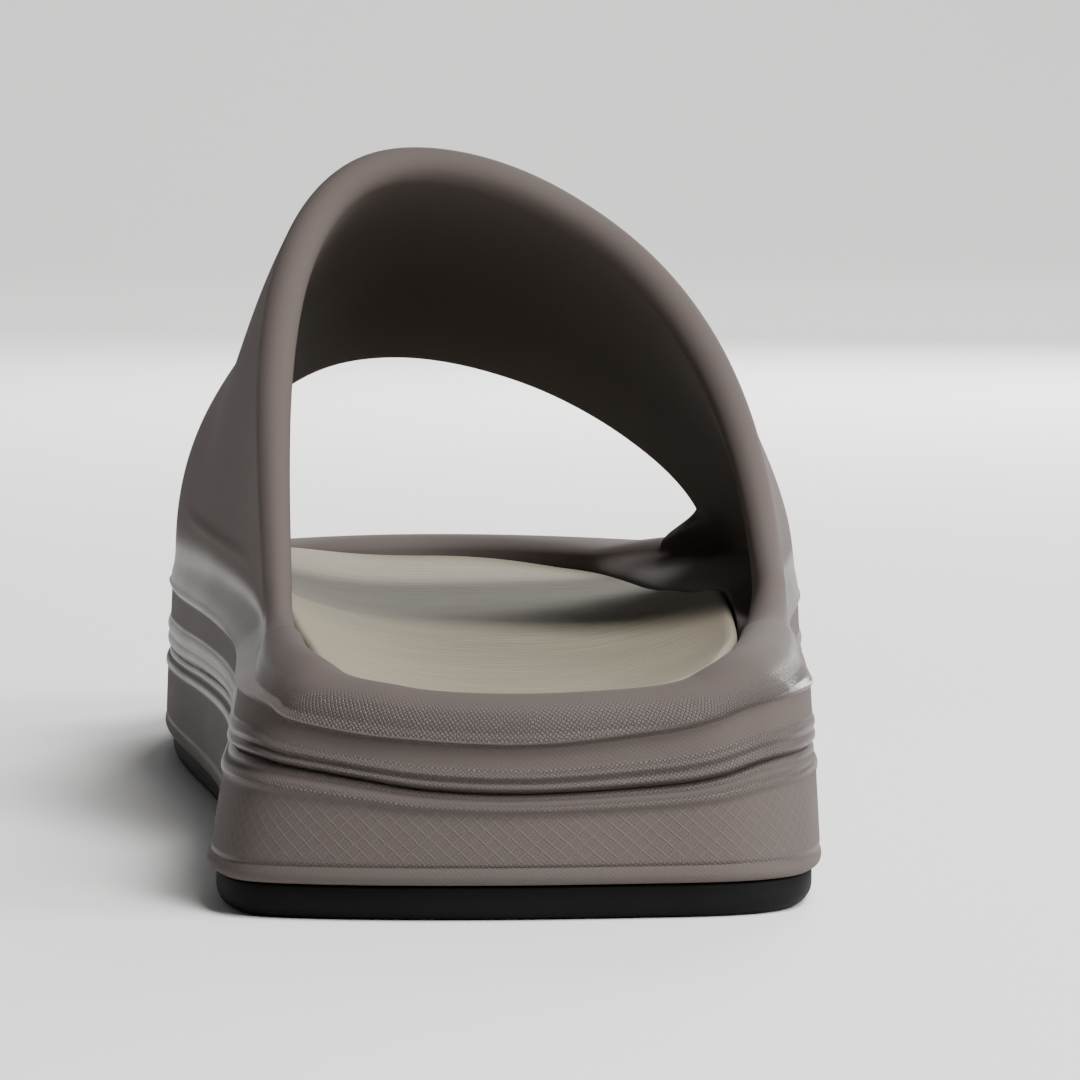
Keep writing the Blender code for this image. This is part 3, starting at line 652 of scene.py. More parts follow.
def noise(tree: bpy.types.NodeTree, vector: Feed, scale: float, detail: float,
          roughness: float = 0.5) -> bpy.types.Node:
    """Gives a cloudy value.

    Args:
        tree: Node tree of the material.
        vector: Where it is read.
        scale: Clouds to the metre.
        detail: How many finer clouds lie on them.
        roughness: How strong those are.

    Returns:
        The noise node.
    """
    return add_node(tree, "ShaderNodeTexNoise", {
        "Scale": scale, "Detail": detail, "Roughness": roughness, "Vector": vector})


def relief_of(tree: bpy.types.NodeTree, height: float, value: Feed,
              under: Feed | None = None) -> bpy.types.Node:
    """Raises the surface by a value.

    Args:
        tree: Node tree of the material.
        height: How high it rises where the value is 1.
        value: The value.
        under: The relief that it lies on.

    Returns:
        The bump node.
    """
    bump = add_node(tree, "ShaderNodeBump", {"Distance": height, "Height": value})
    if under is not None:
        fill(tree, bump, {"Normal": under})
    return bump


def mixed(tree: bpy.types.NodeTree, share: Feed, first: Feed, second: Feed) -> bpy.types.NodeSocket:
    """Mixes two colours.

    Args:
        tree: Node tree of the material.
        share: Share of the second one.
        first: Colour at a share of 0.
        second: Colour at a share of 1.

    Returns:
        The socket of the mixed colour.
    """
    node = add_node(tree, "ShaderNodeMix", {"data_type": "RGBA", 0: share, 6: first, 7: second})
    return node.outputs[2]


@dataclass(frozen=True)
class MouldedFoam:
    """Injection-moulded EVA foam: a satin skin with the grain of its mould.

    The closed skin gives broad soft highlights; spark-eroded grain on the rim
    breaks them into fine sparkle, and thin raised lines cross on the lower wall.
    """

    name: str = "moulded_eva_foam"
    colour: str = "#554d4a"
    # Painted shade: colour given to the hollows of the grain
    painted_valley_shade: str = "#443d3a"
    # Colour of the raised hatch lines: partly wear, partly painted highlight
    line: str = "#6c6461"
    line_wear_and_highlight: float = 0.30
    ior: float = 1.49
    specular: float = 0.22
    roughness: float = 0.90
    grain_gloss: float = 0.55
    grain_pitch: float = 0.50 * MM
    grain_height: float = 0.06 * MM
    grain_turn: float = math.radians(38.0)
    grain_disorder: float = 0.30
    grain_slope: float = 0.30
    hatch_run: float = 2.2 * MM
    hatch_rise: float = 2.0 * MM
    hatch_width: float = 0.10
    hatch_height: float = 0.05 * MM
    skin_pitch: float = 0.35 * MM
    skin_height: float = 0.008 * MM
    cloud_scale: float = 28.0
    cloud_range: Row = (0.3, 0.7)
    cloud_tint: Row = (0.97, 1.03)
    cloud_gloss: Row = (-0.04, 0.05)

    def material(self) -> bpy.types.Material:
        """Builds the material; its patterns follow the wall by the place marks.

        Returns:
            The material.
        """
        material, tree, shader = blank(self.name)
        place, grain, hatch = (add_node(tree, "ShaderNodeAttribute", {
            "attribute_name": mark.value}) for mark in (Mark.PLACE, Mark.GRAIN, Mark.HATCH))
        grain, hatch = grain.outputs["Fac"], hatch.outputs["Fac"]
        where = add_node(tree, "ShaderNodeTexCoord").outputs["Object"]

        turned = add_node(tree, "ShaderNodeMapping", {
            "Rotation": (0.0, 0.0, self.grain_turn), "Scale": (1.0 / self.grain_pitch,) * 3,
            "Vector": place.outputs["Vector"]})
        cells = add_node(tree, "ShaderNodeTexVoronoi", {
            "voronoi_dimensions": "2D", "feature": "DISTANCE_TO_EDGE", "Scale": 1.0,
            "Randomness": self.grain_disorder, "Vector": turned})
        pebbles = ramp(tree, cells, (0.0, self.grain_slope), smooth=True)
        grain_relief = maths(tree, "MULTIPLY", pebbles, grain)

        split = add_node(tree, "ShaderNodeSeparateXYZ", {"Vector": place.outputs["Vector"]})
        run = maths(tree, "DIVIDE", split.outputs["X"], self.hatch_run)
        rise = maths(tree, "DIVIDE", split.outputs["Y"], self.hatch_rise)
        lines = []
        for operation in ("ADD", "SUBTRACT"):
            slant = maths(tree, operation, run, rise)
            fold = maths(tree, "PINGPONG", slant, 0.5)
            lines.append(ramp(tree, fold, (self.hatch_width, 0.0), smooth=True))
        crossed = maths(tree, "MAXIMUM", lines[0], lines[1])
        hatch_relief = maths(tree, "MULTIPLY", crossed, hatch)

        skin = noise(tree, where, 1.0 / self.skin_pitch, 3.0)
        cloud = noise(tree, where, self.cloud_scale, 2.0)
        bump = relief_of(tree, self.skin_height, skin)
        bump = relief_of(tree, self.grain_height, grain_relief, bump)
        bump = relief_of(tree, self.hatch_height, hatch_relief, bump)

        # Painted shade: the hollows between the grain's pebbles are darkened
        low = maths(tree, "SUBTRACT", grain, grain_relief)
        shade = mixed(tree, low, linear(self.colour), linear(self.painted_valley_shade))
        # The raised hatch lines are painted lighter: partly wear, partly painted highlight
        hatch_wear_and_highlight = maths(tree, "MULTIPLY", hatch_relief, self.line_wear_and_highlight)
        lines_worn_and_highlit = mixed(tree, hatch_wear_and_highlight, shade, linear(self.line))
        even = ramp(tree, cloud, self.cloud_range, self.cloud_tint)
        tint = add_node(tree, "ShaderNodeHueSaturation", {"Value": even, "Color": lines_worn_and_highlit})
        gloss = tuple(self.roughness + change for change in self.cloud_gloss)
        plain = ramp(tree, cloud, self.cloud_range, gloss)
        rough = maths(tree, "MULTIPLY_ADD", grain, -self.grain_gloss, plain)
        fill(tree, shader, {
            "Base Color": tint, "Roughness": rough, "Normal": bump,
            "IOR": self.ior, "Specular IOR Level": self.specular})
        return material


@dataclass(frozen=True)
class FootbedFoam:
    """Soft-touch moulded foam of the footbed: quite matt, with raised ripples.

    The open skin scatters the light evenly, and wavy lines like rippled sand
    run across it, worn smooth towards its margin.
    """

    name: str = "soft_touch_footbed_foam"
    colour: str = "#857e6e"
    # Painted highlight: colour of the raised ripple crests
    crest: str = "#a19a88"
    ior: float = 1.47
    specular: float = 0.20
    roughness: float = 0.85
    ripple_pitch: float = 2.6 * MM
    ripple_height: float = 0.30 * MM
    ripple_crest: Row = (0.35, 1.0)
    drift_scale: float = 26.0
    drift_reach: float = 13.0 * MM
    patch_scale: Row = (60.0, 260.0, 60.0)
    patch_range: Row = (0.36, 0.62)
    pore_pitch: float = 0.30 * MM
    pore_height: float = 0.02 * MM
    cloud_scale: float = 34.0
    cloud_range: Row = (0.3, 0.7)
    cloud_tint: Row = (0.965, 1.03)

    def material(self) -> bpy.types.Material:
        """Builds the material; its ripples lie in the shoe's own directions.

        Returns:
            The material.
        """
        material, tree, shader = blank(self.name)
        where = add_node(tree, "ShaderNodeTexCoord").outputs["Object"]
        margin = add_node(tree, "ShaderNodeAttribute", {"attribute_name": Mark.MARGIN.value})
        drift = noise(tree, where, self.drift_scale, 2.0, 0.5)
        split = add_node(tree, "ShaderNodeSeparateXYZ", {"Vector": where})
        bend = maths(tree, "MULTIPLY_ADD", drift, self.drift_reach, split.outputs["Y"])
        turns = maths(tree, "MULTIPLY", bend, 2.0 * math.pi / self.ripple_pitch)
        wave = maths(tree, "SINE", turns)
        crest = ramp(tree, wave, self.ripple_crest, smooth=True)
        patches = add_node(tree, "ShaderNodeMapping", {"Scale": self.patch_scale, "Vector": where})
        broken = noise(tree, patches, 1.0, 2.0)
        kept = maths(tree, "MULTIPLY", ramp(tree, broken, self.patch_range), margin.outputs["Fac"])
        relief = maths(tree, "MULTIPLY", crest, kept)
        pores = noise(tree, where, 1.0 / self.pore_pitch, 3.0, 0.65)
        pore_bump = relief_of(tree, self.pore_height, pores)
        bump = relief_of(tree, self.ripple_height, relief, pore_bump)
        # Painted highlight: the raised ripple crests are coloured lighter
        shade = mixed(tree, relief, linear(self.colour), linear(self.crest))
        cloud = noise(tree, where, self.cloud_scale, 3.0)
        even = ramp(tree, cloud, self.cloud_range, self.cloud_tint)
        tint = add_node(tree, "ShaderNodeHueSaturation", {"Value": even, "Color": shade})
        fill(tree, shader, {
            "Base Color": tint, "Normal": bump, "Roughness": self.roughness,
            "IOR": self.ior, "Specular IOR Level": self.specular})
        return material


@dataclass(frozen=True)
class TreadRubber:
    """Compression-moulded rubber, black with carbon: dull, with a faint bloom."""

    name: str = "black_moulded_rubber"
    colour: str = "#0c0c0c"
    bloom: str = "#131313"
    ior: float = 1.52
    specular: float = 0.12
    roughness: float = 0.75
    grit_pitch: float = 0.40 * MM
    grit_height: float = 0.03 * MM
    bloom_scale: float = 45.0
    bloom_range: Row = (0.45, 0.75)

    def material(self) -> bpy.types.Material:
        """Builds the material.

        Returns:
            The material.
        """
        material, tree, shader = blank(self.name)
        where = add_node(tree, "ShaderNodeTexCoord").outputs["Object"]
        grit = noise(tree, where, 1.0 / self.grit_pitch, 3.0)
        dust = noise(tree, where, self.bloom_scale, 4.0)
        dusty = ramp(tree, dust, self.bloom_range)
        shade = mixed(tree, dusty, linear(self.colour), linear(self.bloom))
        bump = relief_of(tree, self.grit_height, grit)
        fill(tree, shader, {
            "Base Color": shade, "Normal": bump, "Roughness": self.roughness,
            "IOR": self.ior, "Specular IOR Level": self.specular})
        return material


@dataclass(frozen=True)
class StudioPaper:
    """Seamless paper of the studio: white, fully matt."""

    name: str = "seamless_paper"
    colour: str = "#f4f3f1"
    roughness: float = 0.95

    def material(self) -> bpy.types.Material:
        """Builds the material.

        Returns:
            The material.
        """
        material, tree, shader = blank(self.name)
        fill(tree, shader, {"Base Color": linear(self.colour), "Roughness": self.roughness})
        return material


@dataclass
class Outsole:
    """Rubber outsole with a rounded lower edge, toe spring and cross grooves."""

    last: Last
    inset: float = 0.0014
    edge_radius: float = 0.0022
    edge_rows: int = 10
    lip_drop: float = 0.2 * MM
    lip_inset: float = 0.15 * MM
    groove_width: float = 0.003
    groove_depth: float = 0.0018
    groove_pitch: float = 0.0125
    groove_margin: float = 0.009
    groove_first: float = 0.018
    groove_last: float = 0.256

    def build(self) -> bpy.types.Object:
        """Lays the plate and cuts the grooves.

        Returns:
            The piece.
        """
        last = self.last
        ground = last.ground()
        rings = []
        for angle in np.linspace(0.0, 0.5 * math.pi, self.edge_rows):
            out = -self.inset - self.edge_radius * (1.0 - math.sin(angle))
            rings.append(last.sole_ring(out, ground + self.edge_radius * (1.0 - math.cos(angle))))
        top = ground + last.outsole_height
        rings.append(last.sole_ring(-self.inset, top - self.lip_drop))
        rings.append(last.sole_ring(-self.inset - self.lip_inset, top))
        parts = [
            Sheet(np.stack(rings)).lay("outsole_wall", last.stand),
            cap_of(last, rings[0]).lay("outsole_floor", last.stand),
            cap_of(last, rings[-1]).lay("outsole_top", last.stand),
        ]
        item = weld("rubber_outsole", parts)
        self.cut_grooves(item)
        return item

    def cut_grooves(self, item: bpy.types.Object) -> None:
        """Cuts the cross grooves between the lugs.

        Args:
            item: The outsole, which is changed.
        """
        last = self.last
        medial, lateral = last.halves(last.sole)
        count = int((self.groove_last - self.groove_first) / self.groove_pitch) + 1
        bars = []
        for i in range(count):
            y = self.groove_first + self.groove_pitch * i
            high = float(np.interp(y, lateral[:, 1], lateral[:, 0])) - self.groove_margin
            low = float(np.interp(y, medial[:, 1], medial[:, 0])) + self.groove_margin
            here = float(last.ground(np.array(y / last.length)))
            ahead = float(last.ground(np.array((y + self.groove_width) / last.length)))
            bpy.ops.object.select_all(action="DESELECT")
            bpy.ops.mesh.primitive_cube_add(size=1.0)
            bar = bpy.context.object
            slope = (ahead - here) / self.groove_width
            for vertex in bar.data.vertices:
                x, side, z = vertex.co
                vertex.co = (
                    0.5 * (high + low) + x * (high - low) + last.stand[0],
                    y + side * self.groove_width + last.stand[1],
                    here + z * 2.0 * self.groove_depth + side * self.groove_width * slope,
                )
            bars.append(bar)
        cutter = weld("groove_bars", bars)
        cut = item.modifiers.new("grooves", "BOOLEAN")
        cut.operation = "DIFFERENCE"
        cut.solver = "EXACT"
        cut.object = cutter
        pick(item)
        bpy.ops.object.modifier_apply(modifier=cut.name)
        bpy.data.objects.remove(cutter, do_unlink=True)

    def dress(self, item: bpy.types.Object, finish: bpy.types.Material) -> None:
        """Gives the outsole its finish and its place in the frame.

        Args:
            item: The piece.
            finish: Its material.
        """
        coat(item, finish)
        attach(item, "root")
        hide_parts("outsole")


@dataclass
class Midsole:
    """Foam midsole: bead, hatched lower wall, rib, bevel and thin grained strip."""

    last: Last
    clearance: float = 0.0003
    bead_height: float = 0.0023
    seam: float = 0.05 * MM
    wall_rows: int = 66
    bead_rows: int = 16
    bead_grain: float = 0.25
    bead_crest_grain: float = 0.55
    foot_grain: float = 0.5
    wall_grain: float = 0.30
    rib_grain: float = 0.7

    # Shares of the height over which the marks rise and fall
    bead_crest: Row = (0.75, 1.0)
    foot_end: float = 0.05
    hatch_rise: Row = (0.05, 0.10)
    hatch_fall: Row = (0.68, 0.74)
    rib_rise: Row = (0.74, 0.80)
    rib_fall: Row = (0.84, 0.88)
    strip_rise: Row = (0.915, 0.93)

    # Share of the height, and how far the wall stands out, in rib depths
    bead_steps: tuple[Row, ...] = (
        (0.00, -1.20), (0.20, -0.30), (0.50, 0.00), (0.85, -0.15), (1.00, -0.60),
    )
    wall_steps: tuple[Row, ...] = (
        (0.00, -0.60), (0.04, -0.34), (0.10, -0.28), (0.40, -0.20), (0.70, -0.15),
        (0.735, 0.05), (0.77, 0.50), (0.805, 0.62), (0.84, 0.34), (0.885, -0.62),
        (0.905, -0.74), (0.925, -0.66), (0.95, -0.66), (0.975, -0.85), (1.00, -1.45),
    )

    def build(self) -> bpy.types.Object:
        """Lays the wall, the seat on the outsole and the top.

        Returns:
            The piece.
        """
        last = self.last
        bottom = last.ground() + last.outsole_height + self.clearance
        bead_top = bottom + self.bead_height
        top = last.parting - self.seam
        rings, hatch, grain = [], [], []
        for share in np.linspace(0.0, 1.0, self.bead_rows)[:-1]:
            height = bottom + (bead_top - bottom) * share
            out = smooth_value(self.bead_steps, 1, share) * last.rib_depth
            rings.append(last.sole_ring(out - last.leaning(height), height))
            hatch.append(0.0)
            crest = float(soft_step(*self.bead_crest, share))
            grain.append(self.bead_grain + self.bead_crest_grain * crest)
        for share in np.linspace(0.0, 1.0, self.wall_rows):
            height = bead_top + (top - bead_top) * share
            out = smooth_value(self.wall_steps, 1, share) * last.ribs
            rings.append(last.sole_ring(out - last.leaning(height), height))
            hatch.append(float(window(self.hatch_rise, self.hatch_fall, share)))
            raised = window(self.rib_rise, self.rib_fall, share)
            raised += soft_step(*self.strip_rise, share)
            foot = self.foot_grain * (share < self.foot_end)
            grain.append(float(np.clip(self.wall_grain + self.rib_grain * raised + foot, 0.0, 1.0)))
        along = last.foot[:, 1] / last.length
        core = Footbed(last).under(along) - self.clearance
        rings.append(last.foot_ring(0.0, top))
        rings.append(last.foot_ring(0.0, core))
        hatch += [0.0, 0.0]
        grain += [0.0, 0.0]
        points = np.stack(rings)
        place = last.places(points)
        wall = Sheet(points, place, np.array(grain)[:, None], np.array(hatch)[:, None])
        parts = [
            wall.lay("midsole_wall", last.stand),
            cap_of(last, rings[0]).lay("midsole_floor", last.stand),
            cap_of(last, rings[-1]).lay("midsole_seat", last.stand),
        ]
        return weld("foam_midsole", parts)

    def dress(self, item: bpy.types.Object, finish: bpy.types.Material) -> None:
        """Gives the midsole its finish and its place in the frame.

        Args:
            item: The piece.
            finish: Its material.
        """
        coat(item, finish)
        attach(item, "root")
        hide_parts("midsole")


@dataclass
class Footbed:
    """Contoured footbed: heel cup, raised arch and a shallow curl at its edges."""

    last: Last
    thickness: float = 0.004
    edge_round: float = 0.001
    curl: float = 2.6
    under_rear: float = 0.12
    under_front: float = 0.90
    across: int = 72
    edge_rows: int = 6
    margin_width: float = 0.009
    margin_plain: float = 0.25

    # Heights of the middle, medial edge and lateral edge, as shares of the heel's
    bed_table: tuple[Row, ...] = (
        (0.046, 0.925, 0.925, 0.925), (0.052, 0.915, 0.965, 0.965), (0.063, 0.900, 1.010, 1.010),
        (0.083, 0.880, 1.045, 1.045), (0.120, 0.855, 1.075, 1.075), (0.160, 0.848, 1.090, 1.090),
        (0.220, 0.845, 1.100, 1.100), (0.350, 0.880, 1.140, 1.130), (0.400, 0.890, 1.150, 1.125),
        (0.460, 0.893, 1.150, 1.090), (0.560, 0.880, 1.130, 1.000), (0.640, 0.860, 1.100, 0.945),
        (0.700, 0.850, 1.070, 0.900), (0.750, 0.845, 1.050, 0.880), (0.850, 0.855, 1.030, 0.870),
        (0.900, 0.870, 1.000, 0.870), (0.958, 0.905, 0.905, 0.905),
    )

    def middle(self, along: np.ndarray) -> np.ndarray:
        """Height of the middle of the top."""
        return smooth_value(self.bed_table, 1, along) * self.last.heel_height

    def under(self, along: np.ndarray) -> np.ndarray:
        """Height of the underside."""
        return self.middle(np.clip(along, self.under_rear, self.under_front)) - self.thickness

    def edge(self) -> np.ndarray:
        """Height of the top at the edge, for each column.

        Returns:
            The heights.
        """
        last = self.last
        along = last.foot[:, 1] / last.length
        inner, outer = (smooth_value(self.bed_table, column, along) for column in (2, 3))
        return last.heel_height * np.where(last.lateral, outer, inner)

    def build(self) -> bpy.types.Object:
        """Lays the edge, the underside and the contoured top.

        Returns:
            The piece.
        """
        last = self.last
        along = last.foot[:, 1] / last.length
        edge = self.edge()
        rings = [last.foot_ring(0.0, self.under(along))]
        for angle in np.linspace(0.0, 0.5 * math.pi, self.edge_rows):
            inward = self.edge_round * (1.0 - math.cos(angle))
            rings.append(last.foot_ring(-inward, edge - self.edge_round * (1.0 - math.sin(angle))))
        top = cap_of(last, rings[-1], self.across)
        points = top.points
        share = np.linspace(-1.0, 1.0, self.across + 1)[:, None]
        rim = np.where(share > 0.0, points[-1, :, 2], points[0, :, 2])
        middle = np.minimum(self.middle(points[:, :, 1] / last.length), rim)
        points[1:-1, :, 2] = (middle + (rim - middle) * np.abs(share) ** self.curl)[1:-1]
        outline = rings[-1][:, :2]
        apart = np.full(points.shape[:2], np.inf)
        for spot in outline[::3]:
            apart = np.minimum(apart, np.linalg.norm(points[:, :, :2] - spot, axis=2))
        top.margin = soft_step(self.margin_plain * self.margin_width, self.margin_width, apart)
        wall = Sheet(np.stack(rings), margin=0.0)
        parts = [
            wall.lay("footbed_edge", last.stand),
            cap_of(last, rings[0]).lay("footbed_under", last.stand),
            top.lay("footbed_top", last.stand),
        ]
        return weld("contoured_footbed", parts)

    def dress(self, item: bpy.types.Object, finish: bpy.types.Material) -> None:
        """Gives the footbed its finish and its place in the frame.

        Args:
            item: The piece.
            finish: Its material.
        """
        coat(item, finish)
        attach(item, "root")
        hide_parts("footbed")


@dataclass
class Upper:
    """Hollow moulded upper: ribbed rim, and the strap moulded in one with it."""

    last: Last
    wall: float = 0.0055
    edge_rise: float = 0.0024
    clearance: float = 0.0003
    wall_rows: int = 60
    shoulder_rows: int = 12
    roll_rows: int = 14
    roll_rounds: int = 8
    inside_rows: int = 9
    strap_rows: int = 280
    section_samples: int = 1400
    base_blend: float = 0.012
    smooth_over: int = 40
    smooth_along: int = 6
    root_reach: float = 0.011
    root_drop: float = 0.0035
    root_rounds: int = 24
    root_factor: float = 0.5
    crease_height: float = 0.55 * MM
    crease_width: float = 0.95 * MM

    # Where the band under the ridge, with little grain, rises and falls
    band_rise: Row = (0.46, 0.52)
    band_fall: Row = (0.88, 0.94)
    band_plain: float = 0.72
    # Over which lengths the grain fades: up the strap, over a rolled edge, and
    # how much further over the broad edge of the heel
    strap_fade: Row = (0.5 * MM, 7.0 * MM)
    roll_fade: Row = (0.3 * MM, 1.8 * MM)
    heel_fade: Row = (2.0 * MM, 4.0 * MM)
    # Share of the height, and how far the wall stands out, in rib depths
    wall_steps: tuple[Row, ...] = (
        (0.00, -1.50), (0.025, -1.10), (0.055, -0.50), (0.09, 0.10), (0.13, 0.28),
        (0.18, 0.10), (0.235, -0.30), (0.285, 0.05), (0.34, 0.46), (0.395, 0.22),
        (0.46, -0.40), (0.55, -0.52), (0.70, -0.55), (0.91, -0.52), (0.955, 0.15),
        (1.00, 0.72),
    )
    shoulder_steps: tuple[Row, ...] = ((0.00, 0.72), (0.13, -0.05), (0.40, 0.00), (1.00, 0.00))
    # Rounded top of the rim: share of the rise, and how its crest lies
    roll_table: tuple[Row, ...] = (
        (0.000, 1.900, 0.700), (0.050, 1.900, 0.660), (0.100, 1.750, 0.680), (0.150, 1.420, 0.800),
        (0.215, 1.000, 1.000), (1.000, 1.000, 1.000),
    )
    # Crown height and its place across, then fullness, medial and lateral
    section_table: tuple[Row, ...] = (
        (0.215, 1.130, -0.080, 2.50, 2.00), (0.350, 1.070, -0.080, 2.45, 1.90),
        (0.458, 1.000, -0.080, 2.32, 1.80), (0.600, 0.865, -0.082, 1.88, 1.74),
        (0.762, 0.695, -0.084, 2.30, 1.74), (0.850, 0.610, -0.084, 2.50, 1.76),
    )
    # Rear and front edge of the strap, for shares of the way over the foot
    edge_table: tuple[Row, ...] = (
        (0.00, 0.215, 0.850), (0.03, 0.264, 0.838), (0.06, 0.293, 0.827),
        (0.11, 0.330, 0.810), (0.18, 0.373, 0.790), (0.27, 0.412, 0.773),
        (0.37, 0.443, 0.763), (0.47, 0.458, 0.760), (0.60, 0.450, 0.766),
        (0.73, 0.415, 0.782), (0.82, 0.376, 0.799), (0.89, 0.332, 0.817),
        (0.94, 0.293, 0.831), (0.97, 0.264, 0.840), (1.00, 0.215, 0.850),
    )
    # Thickness of the strap as a share of the wall, on the way over the foot
    strap_walls: tuple[Row, ...] = ((0.0, 0.74), (0.25, 1.0), (0.75, 1.0), (1.0, 0.74))
    # Where the inside of the wall is as thin as the strap
    thin_table: tuple[Row, ...] = (
        (0.000, 0.0), (0.165, 0.0), (0.315, 1.0), (0.790, 1.0), (0.910, 0.0), (1.000, 0.0),
    )
    # Crease on the medial wall: height, and how much of it shows
    crease_table: tuple[Row, ...] = (
        (0.340, 0.0395, 0.0), (0.390, 0.0398, 0.7), (0.470, 0.0402, 1.0),
        (0.560, 0.0408, 0.9), (0.640, 0.0415, 0.0),
    )

    def wall_top(self) -> tuple[np.ndarray, np.ndarray]:
        """Outer and inner ring at the top of the wall, under the rolled edge.

        Returns:
            The two rings.
        """
        last = self.last
        height = last.rim - self.edge_rise * smooth_value(self.roll_table, 1, last.along)
        inset = last.leaning(height) + last.shoulder()
        outer = last.sole_ring(-inset, height)
        thin = smooth_value(self.thin_table, 1, last.along)[:, None]
        foot = last.foot_ring(self.clearance, height)
        plain = last.sole_ring(-inset - self.wall * self.strap_walls[0][1], height)
        inner = plain * thin + foot * (1.0 - thin)
        short = ((foot - inner)[:, :2] * last.foot_out).sum(axis=1)
        inner[:, :2] += last.foot_out * np.clip(short, 0.0, None)[:, None]
        return outer, inner

    def outer_wall(self, top: np.ndarray) -> Sheet:
        """Ribbed wall from the parting groove up to the rim.

        Args:
            top: Ring at the top of the wall.

        Returns:
            The sheet of the wall.
        """
        last = self.last
        parting, ridge, rim = last.parting, last.ridge, top[:, 2]
        rings, grain = [], []
        for share in np.linspace(0.0, 1.0, self.wall_rows):
            height = parting + (ridge - parting) * share
            out = smooth_value(self.wall_steps, 1, share) * last.ribs
            rings.append(last.sole_ring(out - last.leaning(height), height))
            band = float(window(self.band_rise, self.band_fall, share))
            grain.append(1.0 - self.band_plain * band)
        for share in np.linspace(0.0, 1.0, self.shoulder_rows)[1:-1]:
            height = ridge + (rim - ridge) * share
            out = smooth_value(self.shoulder_steps, 1, share) * last.ribs
            out = out - last.leaning(height) - last.shoulder() * float(soft_step(0.0, 1.0, share))
            rings.append(last.sole_ring(out, height))
            grain.append(1.0)
        rings.append(top)
        grain.append(1.0)
        points = np.stack(rings)
        place = last.places(points)
        return Sheet(points, place, np.broadcast_to(np.array(grain)[:, None], points.shape[:2]))

    def inner_wall(self, top: np.ndarray, foot: np.ndarray) -> Sheet:
        """Inside of the wall, from the rolled edge down past the footbed.

        Args:
            top: Inner ring at the top of the wall.
            foot: Outer ring at the parting groove, which closes it below.

        Returns:
            The sheet of the inside.
        """
        last = self.last
        seat = np.minimum(Footbed(last).edge(), top[:, 2] - self.clearance)
        low = last.foot_ring(self.clearance, seat)
        rings = []
        for share in np.linspace(0.0, 1.0, self.inside_rows):
            ease = float(soft_step(0.0, 1.0, share))
            ring = top * (1.0 - share) + low * share
            ring[:, :2] = top[:, :2] * (1.0 - ease) + low[:, :2] * ease
            rings.append(ring)
        rings.append(last.foot_ring(self.clearance, last.parting))
        rings.append(foot)
        return Sheet(np.stack(rings))

    def section_rows(self, top: np.ndarray) -> np.ndarray:
        """Outer points of the strap: rows over the foot, columns along it.

        Args:
            top: Outer ring at the top of the wall.

        Returns:
            Points of the vault between the strap's edges.
        """
        last = self.last
        medial, lateral = last.halves(top)
        share = np.linspace(0.0, 1.0, last.strap_columns + 1)
        angle = np.linspace(0.0, 0.5 * math.pi, self.section_samples)[None]
        rows = [medial[last.strap_span]]
        for k in range(1, self.strap_rows):
            over = k / self.strap_rows
            rear, front = (float(smooth_value(self.edge_table, i, over)) * last.length
                           for i in (1, 2))
            y = rear + (front - rear) * share
            along = y / last.length
            crown = smooth_value(self.section_table, 1, along)[:, None] * last.instep_height
            across = smooth_value(self.section_table, 2, along)[:, None] * last.ball_width
            halves = []
            for line, column in ((medial, 3), (lateral, 4)):
                power = 2.0 / smooth_value(self.section_table, column, along)[:, None]
                base_x = np.interp(y, line[:, 1], line[:, 0])[:, None]
                base_z = np.interp(y, line[:, 1], line[:, 2])[:, None]
                x = across + (base_x - across) * np.cos(angle) ** power
                z = base_z + (crown - base_z) * np.sin(angle) ** power
                halves.append(np.stack((x, z), axis=2))
            line = np.concatenate((halves[0], halves[1][:, -2::-1]), axis=1)
            steps = np.linalg.norm(np.diff(line, axis=1), axis=2)
            reach = np.concatenate((np.zeros((len(y), 1)), np.cumsum(steps, axis=1)), axis=1)
            row = np.empty((len(y), 3))
            row[:, 1] = y
            for i in range(len(y)):
                at = over * reach[i, -1]
                row[i, 0] = np.interp(at, reach[i], line[i, :, 0])
                row[i, 2] = np.interp(at, reach[i], line[i, :, 1])
            rows.append(row)
        rows.append(lateral[last.strap_span])
        return np.stack(rows)

    def outward(self, grid: np.ndarray) -> np.ndarray:
        """Unit directions outward from the strap's outer points.

        Args:
            grid: The points, in rows over the foot.

        Returns:
            One direction for each.
        """
        over = np.gradient(grid, axis=0)
        along = np.gradient(grid, axis=1)
        out = np.cross(over, along)
        out /= np.linalg.norm(out, axis=2)[:, :, None]
        return out

    def strap(self, top: np.ndarray, inner_top: np.ndarray) -> tuple[np.ndarray, np.ndarray]:
        """Outer and inner points of the strap, with the crease on its medial wall.

        Args:
            top: Outer ring at the top of the wall.
            inner_top: Inner ring at the top of the wall.

        Returns:
            The two grids of points, which end on the two rings.
        """
        last = self.last
        grid = even_out(self.section_rows(top), self.smooth_over)
        grid = even_out(grid.transpose(1, 0, 2), self.smooth_along).transpose(1, 0, 2)
        bases = [[half[last.strap_span] for half in last.halves(ring)] for ring in (top, inner_top)]
        grid[0], grid[-1] = bases[0]
        out = self.outward(grid)
        over = np.linspace(0.0, 1.0, len(grid))
        inner = grid - out * (self.wall * smooth_value(self.strap_walls, 1, over))[:, None, None]
        up = up_the_wall(grid)
        down = up[-1:] - up
        for base, rows in ((0, up), (-1, down)):
            miss = bases[1][base] - inner[base]
            fade = 1.0 - soft_step(0.0, self.base_blend, rows)
            inner = inner + miss[None] * fade[:, :, None]
        inner[0], inner[-1] = bases[1]
        along = grid[:, :, 1] / last.length
        height = smooth_value(self.crease_table, 1, along)
        shown = smooth_value(self.crease_table, 2, along)
        medial_half = (np.arange(len(grid)) < len(grid) // 3)[:, None]
        lift = np.exp(-((grid[:, :, 2] - height) / self.crease_width) ** 2)
        grid = grid + out * (self.crease_height * lift * shown * medial_half)[:, :, None]
        return grid, inner

